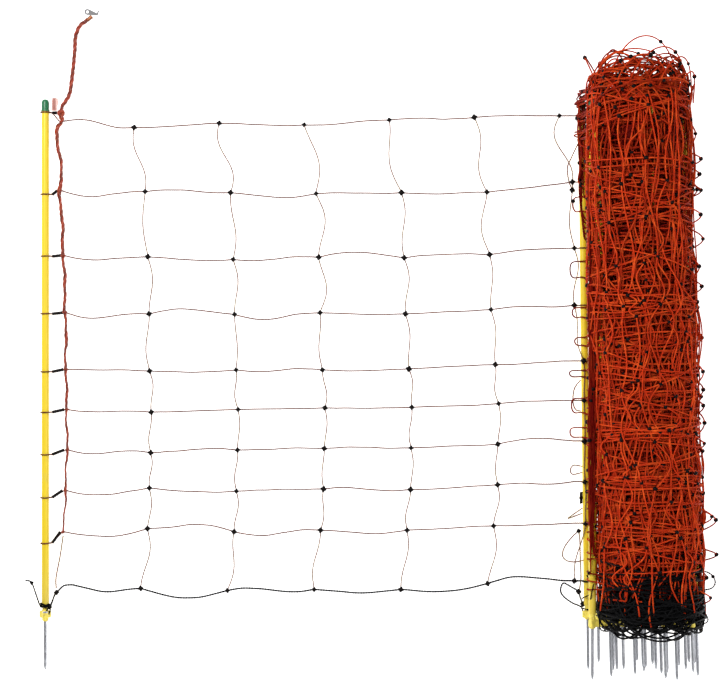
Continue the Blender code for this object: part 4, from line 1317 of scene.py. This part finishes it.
def foot_outline(steps):
    """A hub with two ears for the ground strand, and an arm out to the short spike."""
    made = []
    for i in range(steps + 1):
        degrees = 42 + 276 * i / steps
        ear = math.exp(-(((degrees - 100) / 20) ** 2)) + math.exp(-(((degrees - 260) / 20) ** 2))
        radius = 0.0075 + 0.0034 * ear
        angle = math.radians(degrees)
        made.append((radius * math.cos(angle), radius * math.sin(angle)))
    made.append((0.013, -0.0036))
    made.append((0.030, -0.0036))
    for i in range(steps // 2 + 1):
        angle = math.radians(-110 + 220 * i / (steps // 2))
        made.append((SPIKE_SPACING + 0.0060 * math.cos(angle), 0.0060 * math.sin(angle)))
    made.append((0.030, 0.0036))
    made.append((0.013, 0.0036))
    return made


def add_post(solids, matrix):
    """Adds one post's shaft, cap, foot and spikes to the solids of those names."""
    solids["shaft"].lathe(
        [(0.0050, SHAFT_BOTTOM), (0.0064, SHAFT_BOTTOM + 0.0006), (POST_R, SHAFT_BOTTOM + 0.0022),
         (POST_R, -0.30), (POST_R, -0.10), (POST_R, 0.10), (POST_R, 0.30), (POST_R, SHAFT_TOP)], 28, matrix)
    solids["cap"].lathe(
        [(0.0060, SHAFT_TOP - 0.0006), (CAP_R, SHAFT_TOP), (CAP_R + 0.0002, SHAFT_TOP + 0.0012),
         (CAP_R, SHAFT_TOP + 0.0026),
         (CAP_R - 0.0006, SHAFT_TOP + 0.0030), (CAP_R - 0.0005, CAP_TOP - 0.0068),
         (CAP_R - 0.0011, CAP_TOP - 0.0040),
         (CAP_R * 0.68, CAP_TOP - 0.0014), (CAP_R * 0.36, CAP_TOP - 0.0002), (0.0006, CAP_TOP)], 28, matrix)
    foot = solids["foot"]
    foot.plate(foot_outline(20), FOOT_BOTTOM, FOOT_TOP, 0.0011, matrix)
    foot.lathe(
        [(0.0050, FOOT_TOP - 0.004), (0.0066, FOOT_TOP - 0.003), (0.0058, FOOT_TOP + 0.002),
         (0.0050, FOOT_TOP + 0.0075),
         (0.0062, SHAFT_BOTTOM + 0.0006), (0.0066, SHAFT_BOTTOM + 0.004)], 24, matrix)
    short = matrix @ Matrix.Translation((SPIKE_SPACING, 0.0, 0.0))
    foot.lathe([(0.0036, FOOT_BOTTOM - 0.002), (0.0048, FOOT_BOTTOM - 0.0014),
                (0.0050, FOOT_BOTTOM + 0.002)], 20, short)
    foot.lathe([(0.0046, FOOT_BOTTOM - 0.003), (0.0058, FOOT_BOTTOM - 0.0024),
                (0.0060, FOOT_BOTTOM + 0.002)], 20, matrix)
    for place, top, tip in ((matrix, FOOT_TOP, LONG_TIP), (short, FOOT_TOP + 0.0030, SHORT_TIP)):
        solids["spike"].lathe(
            [(0.0004, tip), (0.0013, tip + 0.0008), (0.0021, tip + 0.0030), (0.0027, tip + 0.0068),
             (SPIKE_R, tip + 0.0105),
             (SPIKE_R, -0.53), (SPIKE_R, top - 0.0008), (SPIKE_R - 0.0008, top)], 18, place)
    solids["spike"].lathe([(0.0040, FOOT_TOP - 0.0002), (0.0047, FOOT_TOP + 0.0002),
                           (0.0047, FOOT_TOP + 0.0020), (0.0040, FOOT_TOP + 0.0026)], 18, short)


def make_posts(prefix, matrices, body, node_sets):
    solids = {kind: Solid() for kind in ("shaft", "cap", "foot", "spike")}
    for matrix in matrices:
        add_post(solids, matrix)
    looks = {
        "shaft": ("yellow_post", "yellow post"),
        "cap": ("green_cap", "green cap"),
        "foot": ("yellow_post", "yellow foot"),
        "spike": ("galvanised_steel", "galvanised steel"),
    }
    for kind, solid in solids.items():
        slot, look = looks[kind]
        piece = finished(solid.made(f"{prefix}_{kind}"), body, look)
        if node_sets.get(kind):
            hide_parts(*node_sets[kind])


class NET_OT_posts(bpy.types.Operator):
    """Makes the end post and the posts in the roll"""

    bl_idname = "net.posts"
    bl_label = "Posts"

    def execute(self, context):
        def nodes_of(post):
            return {
                "shaft": [f"{post}_shaft"],
                "cap": [f"{post}_cap"],
                "foot": [f"{post}_foot"],
                "spike": [f"{post}_long_spike", f"{post}_short_spike"],
            }

        end = post_matrix(END_POST_X, POST_Z, 0.0, math.radians(8.5))
        make_posts("end_post_made", [end], "end_post", nodes_of("end_post"))
        outer = post_matrix(OUTER_POST_X, POST_Z, OUTER_POST_LEAN, math.radians(25.0))
        make_posts("outer_post_made", [outer], "roll", nodes_of("roll_post_02"))
        inner = [
            post_matrix(x, z, math.radians(lean), math.radians(tilt), slide) for x, z, lean, tilt,
            slide in ROLL_POSTS
        ]
        names = [f"roll_post_{number:02d}" for number in range(3, 3 + len(ROLL_POSTS))]
        make_posts("rolled_posts", inner, "roll", {"shaft": names})
        return {"FINISHED"}


class NET_OT_tag(bpy.types.Operator):
    """Makes the film tag beside the end post's cap"""

    bl_idname = "net.tag"
    bl_label = "Tag"

    def execute(self, context):
        across = 9
        down = 14
        width = 0.0125
        height = 0.0240
        solid = Solid()
        rings = []
        for j in range(down):
            t = j / (down - 1)
            y = TAG_CENTRE[1] - height / 2 + height * t
            upper = []
            lower = []
            for i in range(across):
                s = i / (across - 1)
                pinch = 1.0 - 0.10 * (1 - t) - 0.06 * math.sin(math.pi * t * 2)
                x = TAG_CENTRE[0] + (s - 0.5) * width * pinch + 0.0024 * t
                z = TAG_CENTRE[2] + 0.0004 * math.sin(4.0 * s + 3.0 * t) * math.sin(math.pi * t)
                upper.append((x, y, z + 0.00012))
                lower.append((x, y, z - 0.00012))
            rings.append(lower + upper[::-1])
        solid.rings(rings)
        tag = solid.made("marking_tag", smooth=True)
        finished(tag, "tag", "tag film")
        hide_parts("tag")
        return {"FINISHED"}


# ---- roll ----


class Winding:
    """Where a point of the net lies once it is rolled up: an even spiral from the heart to the outside."""

    OUTERMOST = 0.0935
    INNERMOST = 0.0450
    FREE_END = math.radians(-95)

    def __init__(self, length):
        self.length = length
        self.growth = (self.OUTERMOST**2 - self.INNERMOST**2) / length

    def radius(self, along):
        return np.sqrt(self.INNERMOST**2 + self.growth * along)

    def place(self, along, height, outward):
        """Points at distances along the net, at heights, moved outward by so much."""
        along = np.clip(along, 0.0, self.length)
        reach = self.radius(along)
        angle = self.FREE_END + (2.0 / self.growth) * (self.OUTERMOST - reach)
        share = np.clip((0.510 - height) / 0.994, -0.1, 1.1)
        wide = (ROLL_TOP_R + (ROLL_FOOT_R - ROLL_TOP_R) * share) / ROLL_TOP_R
        wide = wide + 0.018 * np.sin(21.0 * height + 0.6) + 0.010 * np.sin(47.0 * height)
        shrink = 1.0 - 0.30 * np.clip((height - 0.445) / 0.09, 0.0, 1.0) ** 2
        reach = (reach + outward) * wide * shrink
        height = height + np.maximum(0.0, height - 0.415) * (0.42 * np.sin(angle) - 0.06)
        reach = self.over_outer_posts(angle, height, reach)
        x = ROLL_X - ROLL_LEAN * height + reach * np.cos(angle)
        z = ROLL_Z + reach * np.sin(angle)
        depth = np.clip(0.10 - reach, 0.0, 0.1)
        z = np.maximum(z, 0.0018 + 0.22 * depth)
        return self.clear_of_posts(np.column_stack([x, height, z]))

    @staticmethod
    def over_outer_posts(angle, height, reach):
        """The last turns pass outside the posts that stand out of the roll."""
        for x, z, lean, _, _ in ROLL_POSTS:
            centre = x - math.tan(math.radians(lean)) * height - (ROLL_X - ROLL_LEAN * height)
            stands = np.hypot(centre, z - ROLL_Z)
            off = (angle - np.arctan2(z - ROLL_Z, centre) + math.pi) % math.tau - math.pi
            inside = smoothstep((0.099 - stands) / 0.006)
            bump = (stands + 0.0090 + 0.2 * (reach - 0.090) - reach) * np.exp(-((off / 0.22) ** 2)) * inside
            reach = np.where((reach > 0.0800) & (stands > 0.075) & (bump > 0.0), reach + bump, reach)
        return reach

    @staticmethod
    def clear_of_posts(points):
        """Strands lie against the posts in the roll and don't pass through them."""
        for x, z, lean, _, _ in ROLL_POSTS:
            centre = x - math.tan(math.radians(lean)) * points[:, 1]
            dx = points[:, 0] - centre
            dz = points[:, 2] - z
            gap = np.hypot(dx, dz)
            push = np.maximum(0.0, 0.0083 - gap) / np.maximum(gap, 1e-5)
            points[:, 0] += dx * push
            points[:, 2] += dz * push
        return points


def drift(rng, along, spacing, seed_shift=0.0):
    """A smooth random wander between -1 and 1, read at the distances along."""
    count = int((along.max() + seed_shift) / spacing) + 4
    values = rng.uniform(-1.0, 1.0, count)
    place = (along + seed_shift) / spacing
    index = np.clip(place.astype(int), 0, count - 2)
    share = smoothstep(place - index)
    return values[index] * (1 - share) + values[index + 1] * share


class RolledNet:
    """The strands of the rolled net: live rows, ground row, cross strands and knots."""

    def __init__(self, length, step, core, seed):
        self.winding = Winding(length)
        self.length = length
        self.step = step
        self.core = core
        self.rng = np.random.default_rng(seed)
        fine = np.arange(0.0, length, 0.02)
        self.fine = fine
        shared = 0.010 * drift(self.rng, fine, 0.9)
        self.heights = []
        self.outward = []
        for row in range(len(ROWS)):
            own = 0.010 * drift(self.rng, fine, 0.22) + 0.0045 * drift(self.rng, fine, 0.07)
            middle = ROWS[row][1]
            if row == 0:
                middle = 0.440
                own = own + 0.058 * drift(self.rng, fine, 0.55) + 0.012 * drift(self.rng, fine, 0.2)
            elif row == GROUND:
                middle = -0.4370
                own = own + 0.062 * drift(self.rng, fine, 0.5)
            else:
                gap = (ROWS[row - 1][1] - ROWS[row + 1][1]) / 2
                own = own + shared + 0.72 * gap * drift(self.rng, fine, 0.55) + 0.14 * gap * drift(self.rng,
                    fine, 0.17)
            self.heights.append(middle + own)
            self.outward.append(
                0.0030 * drift(self.rng, fine, 0.11) + 0.0026 * drift(self.rng, fine,
                    0.5) + (0.001 if row == GROUND else 0.0)
            )

    def height(self, row, along):
        return np.interp(along, self.fine, self.heights[row])

    def out(self, row, along):
        return np.interp(along, self.fine, self.outward[row])

    def tone(self, along, row_noise):
        # Painted shade: the deeper a strand lies in the roll, the lower its tone and the darker its colour;
        # the row noise adds a random tone.
        depth = (self.winding.radius(np.clip(along, 0, self.length)) - 0.070) / (0.0935 - 0.070)
        return np.clip(0.25 + 0.75 * depth + 0.22 * row_noise, 0.02, 1.0)

    def row_tube(self, bundle, row, radius, start, end, step, sides):
        along = np.arange(start, end, step)
        points = self.winding.place(along, self.height(row, along), self.out(row, along))
        noise = drift(self.rng, along, 0.35)
        bundle.tube(points, radius, sides, up=(0.0, 1.0, 0.0), tone=self.tone(along, noise))

    def column_places(self):
        """Distances along the net of each cross strand's knots, one row of numbers for each strand."""
        first = self.along_at(self.core)
        bases = np.arange(first, self.length - 0.02, self.step)
        lean = np.cumsum(self.rng.normal(0.0, 0.0085, (len(bases), len(ROWS))), axis=1)
        lean -= lean.mean(axis=1, keepdims=True)
        return np.clip(bases[:, None] + lean, 0.0, self.length)

    def along_at(self, radius):
        return (radius**2 - self.winding.INNERMOST**2) / self.winding.growth

    def column_points(self, places):
        """Points of one cross strand, bowed between its knots."""
        t = np.linspace(0.0, 1.0, 10, endpoint=False)
        along = []
        height = []
        out = []
        for row in range(len(ROWS) - 1):
            bow = self.rng.normal(0.0, 0.011)
            double = self.rng.normal(0.0, 0.005)
            bulge = abs(self.rng.normal(0.0, 0.0035))
            s0 = places[row]
            s1 = places[row + 1]
            h0 = self.height(row, s0)
            h1 = self.height(row + 1, s1)
            along.append(s0 + (s1 - s0) * t + bow * np.sin(math.pi * t) + double * np.sin(math.tau * t))
            height.append(h0 + (h1 - h0) * t)
            out.append(self.out(row, s0) * (1 - t) + self.out(row + 1,
                s1) * t + 0.001 + bulge * np.sin(math.pi * t))
        along.append([places[-1]])
        height.append([self.height(GROUND, places[-1])])
        out.append([self.out(GROUND, places[-1])])
        along = np.concatenate(along)
        return along, self.winding.place(along, np.concatenate(height), np.concatenate(out))


class NET_OT_roll(bpy.types.Operator):
    """Makes the rolled net: its strands, knots, loose loops and packed heart"""

    bl_idname = "net.roll"
    bl_label = "Roll"

    def execute(self, context):
        s = sizes()
        strand_r = s.strand / 2
        ground_r = s.ground / 2
        net = RolledNet(s.net_length, s.column_step, s.core, 20)
        first = net.along_at(s.core)
        middle = net.along_at(0.080)
        halves = ((first, middle, 0.016, 4, "rolled_rows_within"),
                  (middle, s.net_length, 0.0095, 6, "rolled_rows_outside"))
        for start, end, step, sides, name in halves:
            bundle = Bundle()
            for row in range(GROUND):
                net.row_tube(bundle, row, strand_r, start, end, step, sides)
            piece = finished(bundle.made(name), "roll", "rolled strand")
            if name == "rolled_rows_outside":
                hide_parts("net_roll")

        bundle = Bundle()
        net.row_tube(bundle, GROUND, ground_r * 0.8, 0.0, s.net_length, 0.011, 6)
        for loop in self.ground_slack():
            bundle.tube(even(route(loop, 0.004), 0.004), ground_r * 0.95, 8, lobes=2, depth=0.2,
                        twist=0.010)
        for loop in self.ground_arches():
            bundle.tube(loop, ground_r * 0.95, 6)
        piece = finished(bundle.made("rolled_ground_strand"), "roll",
                         "ground strand")
        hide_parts("ground_roll")

        bundle = Bundle()
        knots = []
        for places in net.column_places():
            along, points = net.column_points(places)
            middle_y = points[:, 1]
            noise = np.full(len(points), net.rng.uniform(-1.0, 1.0))
            reach = points - np.column_stack([ROLL_X - ROLL_LEAN * middle_y, middle_y,
                                              np.full(len(points), ROLL_Z)])
            bundle.tube(points, strand_r, 6 if along[0] > middle else 4, up=reach,
                        tone=net.tone(along, noise) + 0.08)
            if places.min() > middle - 4.0:
                for row in range(len(ROWS)):
                    knots.append(points[min(row * 10, len(points) - 1)])
        finished(bundle.made("rolled_columns"), "roll", "rolled strand")

        bundle = Bundle()
        for loop, tone in self.top_arches():
            bundle.tube(loop, strand_r, 6, tone=tone)
            knots.append(loop[len(loop) // 3])
        for loop, tone in self.slack(net):
            bundle.tube(loop, strand_r, 6, tone=tone)
        for loop, tone in self.side_loops():
            bundle.tube(loop, strand_r, 6, tone=tone)
            knots.append(loop[len(loop) // 2])
        finished(bundle.made("rolled_loose_loops"), "roll", "rolled strand")

        bundle = Bundle()
        for loop, tone in self.drape():
            line = even(route(loop, 0.003), 0.003)
            bundle.tube(line, strand_r, 6, tone=tone)
            if net.rng.uniform() < 0.35:
                knots.append(line[int(len(line) * net.rng.uniform(0.15, 0.85))])
        finished(bundle.made("rolled_side_folds"), "roll", "rolled strand")
        knots += [np.array(place) for place in ((-0.0521, -0.5145, 0.10), (0.0806, -0.5010, 0.08),
                                                (0.1290, -0.4200, 0.08))]
        made = knots_at("rolled_knots", knots, 0.0078, 1, 11, collars=False)
        finished(made, "roll", "moulded knot")
        self.heart(s.core)
        return {"FINISHED"}

    @staticmethod
    def arch(start, span, low, rise, reach, swell, tilt):
        """Points of one loose loop standing up from the roll, or hanging from it if its rise is negative."""
        t = np.linspace(0.0, 1.0, max(16, int(span * 16)))
        angle = start + span * t
        out = reach + swell * np.sin(math.pi * t)
        y = low + rise * np.sin(math.pi * t) ** 0.7 + tilt * (t - 0.5)
        x = ROLL_X - ROLL_LEAN * y + out * np.cos(angle)
        z = np.maximum(ROLL_Z + out * np.sin(angle), 0.003)
        return np.column_stack([x, y, z])

    def top_arches(self):
        """Slack of the top strand arching up over the roll's top."""
        rng = np.random.default_rng(41)
        made = []
        for number in range(sizes().bristle):
            front = number % 3 > 0
            span = rng.uniform(0.7, 2.3)
            middle = rng.uniform(0.25, math.pi - 0.25) if front else rng.uniform(0.0, math.tau)
            low = rng.uniform(0.425, 0.480)
            rise = rng.uniform(0.015, 0.062)
            line = self.arch(
                middle - span / 2, span, low, rise, rng.uniform(0.066, 0.095),
                rng.uniform(-0.012, 0.010), rng.uniform(-0.030, 0.030),
            )
            tone = rng.uniform(0.40, 1.0)
            if np.ptp(line[:, 0]) > 0.035 or line[:, 1].max() < 0.49:
                made.append((line, tone))
        for middle, span, low, rise, reach in (
            (1.45, 1.75, 0.482, 0.078, 0.080),
            (1.70, 2.10, 0.478, 0.058, 0.088),
            (1.10, 1.50, 0.470, 0.070, 0.090),
            (2.05, 1.40, 0.470, 0.060, 0.088),
            (0.75, 1.10, 0.462, 0.062, 0.097),
            (0.45, 0.90, 0.455, 0.045, 0.101),
            (2.55, 1.10, 0.450, 0.045, 0.096),
            (0.05, 0.90, 0.440, 0.045, 0.100),
        ):
            made.append((self.arch(middle - span / 2, span, low, rise, reach, 0.004, 0.012), 0.85))
        return made

    @staticmethod
    def slack(net):
        """Strands slipped across the outer turns: short level ones lying deeper, deep red from painted
        shade, and long slanting bright ones.
        """
        rng = np.random.default_rng(77)
        made = []
        for number in range(210):
            long = number % 3 == 0
            angle = rng.uniform(0.15, math.pi - 0.05)
            height = rng.uniform(-0.400, 0.455)
            count = 34 if long else 26
            t = np.linspace(0.0, 1.0, count)
            if long:
                tall = rng.uniform(0.10, 0.30)
                heights = height - tall * t
                angles = angle + rng.uniform(-0.45,
                                             0.45) * t + 0.10 * np.sin(t * rng.uniform(5.0,
                                                 11.0) + rng.uniform(0.0, 6.0))
                depth = rng.uniform(0.0900, 0.0955)
                tone = rng.uniform(0.55, 1.0)
            else:
                heights = height + rng.uniform(-0.03,
                                               0.03) * t + 0.006 * np.sin(t * rng.uniform(4.0,
                                                   9.0) + rng.uniform(0.0, 6.0))
                angles = angle + rng.uniform(0.5, 1.4) * (t - 0.5)
                depth = rng.uniform(0.0830, 0.0915)
                # Painted shade: low tones darken these deeper strands.
                tone = rng.uniform(0.05, 0.55)
            heights = np.clip(heights, -0.455, 0.47)
            reach = depth + 0.0012 * np.sin(t * 17.0 + number)
            x = ROLL_X - ROLL_LEAN * heights + reach * np.cos(angles)
            z = np.maximum(ROLL_Z + reach * np.sin(angles), 0.004)
            points = net.winding.clear_of_posts(np.column_stack([x, heights, z]))
            made.append((points, tone))
        return made

    @staticmethod
    def side_loops():
        """Slack standing out at the roll's right side."""
        rng = np.random.default_rng(17)
        made = []
        for _ in range(26):
            y = rng.uniform(-0.46, 0.46)
            tall = rng.uniform(0.018, 0.055)
            out = rng.uniform(0.004, 0.017) * (1.5 if y < -0.2 else 1.0)
            side = rng.uniform(-0.35, 0.75)
            t = np.linspace(0.0, 1.0, 18)
            angle = side + 0.25 * (t - 0.5)
            reach = 0.090 + (0.007 + out) * np.sin(math.pi * t)
            heights = y + tall * (t - 0.5)
            x = ROLL_X - ROLL_LEAN * heights + reach * np.cos(angle)
            z = np.maximum(ROLL_Z + reach * np.sin(angle), 0.002)
            made.append((np.column_stack([x, heights, z]), rng.uniform(0.5, 1.0)))
        return made

    def ground_arches(self):
        """Slack of the black strand hanging round the feet of the posts."""
        rng = np.random.default_rng(63)
        made = []
        for number in range(sizes().hanging):
            front = number % 4 > 0
            span = rng.uniform(0.5, 1.9)
            middle = rng.uniform(0.15, math.pi - 0.15) if front else rng.uniform(0.0, math.tau)
            made.append(self.arch(
                middle - span / 2, span, rng.uniform(-0.478, -0.440), -rng.uniform(0.012, 0.052),
                rng.uniform(0.070, 0.098), rng.uniform(-0.010, 0.008), rng.uniform(-0.024, 0.024),
            ))
        return made

    @staticmethod
    def ground_slack():
        """The longest loops of the black strand under and beside the roll's foot."""
        return (
            ((-0.0850, -0.4800, 0.13), (-0.0830, -0.5094, 0.12), (-0.0718, -0.5165, 0.11),
             (-0.0521, -0.5145, 0.10),
             (-0.0126, -0.5038, 0.10), (0.0242, -0.5010, 0.10), (0.0666, -0.5205, 0.09),
             (0.0806, -0.5010, 0.08),
             (0.1117, -0.5078, 0.07), (0.1215, -0.5010, 0.07), (0.1117, -0.4812, 0.08),
             (0.0960, -0.4600, 0.09)),
            ((0.0980, -0.4131, 0.09), (0.1157, -0.4110, 0.08), (0.1284, -0.4186, 0.08),
             (0.1332, -0.4313, 0.08),
             (0.1248, -0.4423, 0.08), (0.0980, -0.4440, 0.09)),
            ((-0.0950, -0.4300, 0.12), (-0.0980, -0.4650, 0.10), (-0.0900, -0.4980, 0.08),
             (-0.0720, -0.5030, 0.08),
             (-0.0650, -0.4800, 0.10)),
            ((-0.1060, -0.4674, 0.0200), (-0.1000, -0.4640, 0.0215), (-0.0880, -0.4570, 0.040),
             (-0.0751, -0.4529, 0.090)),
            ((-0.1060, -0.4848, 0.0200), (-0.0985, -0.4870, 0.0210), (-0.0867, -0.4863, 0.040),
             (-0.0760, -0.4780, 0.090)),
            ((-0.0960, -0.4240, 0.0180), (-0.0900, -0.4400, 0.030), (-0.0930, -0.4620, 0.030),
             (-0.0890, -0.4900, 0.030),
             (-0.0780, -0.4960, 0.060)),
        )

    def drape(self):
        """Strands slung over the outer post: a thick fold at the top, wavy ones and small loops below. Their
        low tones are painted shade.
        """
        rng = np.random.default_rng(29)
        made = []
        for _ in range(26):
            y = rng.uniform(0.385, 0.478)
            rise = rng.uniform(-0.018, 0.022)
            low = rng.uniform(0.004, 0.012)
            out = rng.uniform(0.1100, 0.1195)
            made.append(([
                (-0.0620, y + rise, 0.158), (-0.0850, y + 0.6 * rise, 0.128),
                (-0.0990, y + 0.3 * rise, 0.085),
                (-0.1055, y, 0.050), (-out + 0.001, y - 0.3 * rise, 0.024), (-out, y - 0.5 * rise, 0.014),
                (-0.1060, y - 0.8 * rise, low), (-0.0900, y - rise, low), (-0.0600, y - rise, low + 0.001),
            ], rng.uniform(0.05, 0.65)))
        for _ in range(15):
            top = rng.uniform(0.415, 0.482)
            bottom = rng.uniform(0.270, 0.395)
            x = rng.uniform(-0.1165, -0.0905)
            z = 0.0225 + rng.uniform(0.0, 0.010) if x < -0.0930 else 0.05
            points = [(-0.0880, top + 0.004, z + 0.03)]
            steps = 6
            for k in range(steps + 1):
                y = top + (bottom - top) * k / steps
                points.append((x + rng.uniform(-0.004, 0.004), y, z + rng.uniform(-0.001, 0.002)))
            points.append((-0.0870, bottom - 0.015, 0.060))
            made.append((points, rng.uniform(0.05, 0.7)))
        for number in range(5):
            x = -0.1105 + 0.0012 * number
            points = [(x - 0.002, 0.4000, 0.0180), (x - 0.001, 0.3700, 0.0165),
                      (x + 0.001, 0.3300, 0.0155 + 0.0006 * number),
                      (x, 0.2900 - 0.008 * number, 0.0170), (x + 0.006, 0.2500 - 0.012 * number, 0.0205),
                      (x + 0.020, 0.2300, 0.0240)]
            made.append((points, rng.uniform(0.0, 0.35)))
        for number in range(44):
            y = 0.350 - 0.0185 * number + rng.uniform(-0.006, 0.006)
            rise = rng.uniform(-0.012, 0.016)
            made.append(([
                (-0.0860, y - rise, 0.030), (-0.0905, y, 0.062), (-0.1035, y + 0.2 * rise, 0.0940),
                (-0.1000, y + 0.4 * rise, 0.1085), (-0.0880, y + 0.6 * rise, 0.1110),
                (-0.0700, y + rise, 0.1290),
                (-0.0500, y + 1.6 * rise, 0.1500),
            ], rng.uniform(0.10, 0.90)))
        # Dark wavy strands in front of the second post: partly strands that lie there, partly painted shade,
        # set thick to darken the post where the roll shades it.
        for number in range(17):
            x = rng.uniform(-0.1020, -0.0890)
            top = rng.uniform(-0.05, 0.44)
            bottom = rng.uniform(-0.47, -0.25)
            points = []
            for k in range(15):
                y = top + (bottom - top) * k / 14
                points.append((x + rng.uniform(-0.0035, 0.0035), y, 0.1090 + rng.uniform(0.0, 0.0030)))
            made.append((points, rng.uniform(0.0, 0.5)))
        for start in (0.32, 0.16, -0.02, -0.18, -0.33):
            for side in (0, 1):
                x = -0.0885 - 0.0035 * side
                points = []
                for k in range(9):
                    y = start - 0.0205 * k - 0.008 * side
                    points.append((x + rng.uniform(-0.0035, 0.0035) - ROLL_LEAN * y * 0.4, y,
                                   0.020 + 0.012 * side))
                made.append((points, rng.uniform(0.0, 0.3)))
        for y, out, tall in ((0.268, 0.1215, 0.018), (0.146, 0.1265, 0.020), (0.066, 0.1225, 0.012),
                             (0.012, 0.1180, 0.010),
                             (-0.048, 0.1275, 0.008), (-0.108, 0.1240, 0.018), (-0.158, 0.1265, 0.012)):
            made.append(([
                (-0.0900, y + tall, 0.035), (-0.1020, y + tall * 0.8, 0.0205),
                (-out + 0.004, y + tall * 0.7, 0.010),
                (-out, y, 0.006), (-out + 0.005, y - tall * 0.7, 0.007), (-0.1040, y - tall * 0.7, 0.0203),
                (-0.0900, y - tall, 0.035),
            ], rng.uniform(0.1, 0.5)))
        return made

    @staticmethod
    def heart(core):
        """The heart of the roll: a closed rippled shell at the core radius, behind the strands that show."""
        rng = np.random.default_rng(5)
        heights = np.linspace(-0.475, 0.470, 64)
        shell = Solid()
        rings = []
        for height in heights:
            ring = []
            share = np.clip((0.510 - height) / 0.994, 0.0, 1.0)
            wide = (ROLL_TOP_R + (ROLL_FOOT_R - ROLL_TOP_R) * share) / ROLL_TOP_R
            for k in range(72):
                angle = math.tau * k / 72
                reach = (core + 0.0022 * math.sin(9 * angle + 40 * height) + rng.uniform(-0.0008,
                    0.0008)) * wide
                ring.append((ROLL_X - ROLL_LEAN * height + reach * math.cos(angle), height,
                             max(0.02, ROLL_Z + reach * math.sin(angle))))
            rings.append(ring[::-1])
        shell.rings(rings)
        # Painted shade: the shell carries no tone, so it takes the full deep shade colour, a dark surface
        # standing for packed strands in shade.
        finished(shell.made("rolled_heart"), "roll", "rolled strand")


# ---- panel in the sidebar, and the run ----

STEPS = (NET_OT_studio, NET_OT_lead, NET_OT_ground_tail, NET_OT_panel, NET_OT_posts, NET_OT_tag,
         NET_OT_roll)


class NET_PT_sidebar(bpy.types.Panel):
    """Lists the steps that build the net, with its sizes and colours"""

    bl_idname = "NET_PT_sidebar"
    bl_label = "Poultry net"
    bl_space_type = "VIEW_3D"
    bl_region_type = "UI"
    bl_category = "Poultry net"

    def draw(self, context):
        layout = self.layout
        for step in STEPS:
            layout.operator(step.bl_idname)
        for group in (context.scene.net_sizes, context.scene.net_colours, context.scene.net_studio):
            box = layout.box()
            for name in group.__annotations__:
                box.prop(group, name)


GROUPS = (NetSizes, NetColours, StudioSettings)
CLASSES = GROUPS + STEPS + (NET_PT_sidebar,)


def register():
    for cls in CLASSES:
        bpy.utils.register_class(cls)
    bpy.types.Scene.net_sizes = bpy.props.PointerProperty(type=NetSizes)
    bpy.types.Scene.net_colours = bpy.props.PointerProperty(type=NetColours)
    bpy.types.Scene.net_studio = bpy.props.PointerProperty(type=StudioSettings)


def unregister():
    del bpy.types.Scene.net_studio
    del bpy.types.Scene.net_colours
    del bpy.types.Scene.net_sizes
    for cls in reversed(CLASSES):
        bpy.utils.unregister_class(cls)


def main():
    register()
    for step in STEPS:
        group, name = step.bl_idname.split(".")
        getattr(getattr(bpy.ops, group), name)()


if __name__ == "__main__":
    main()
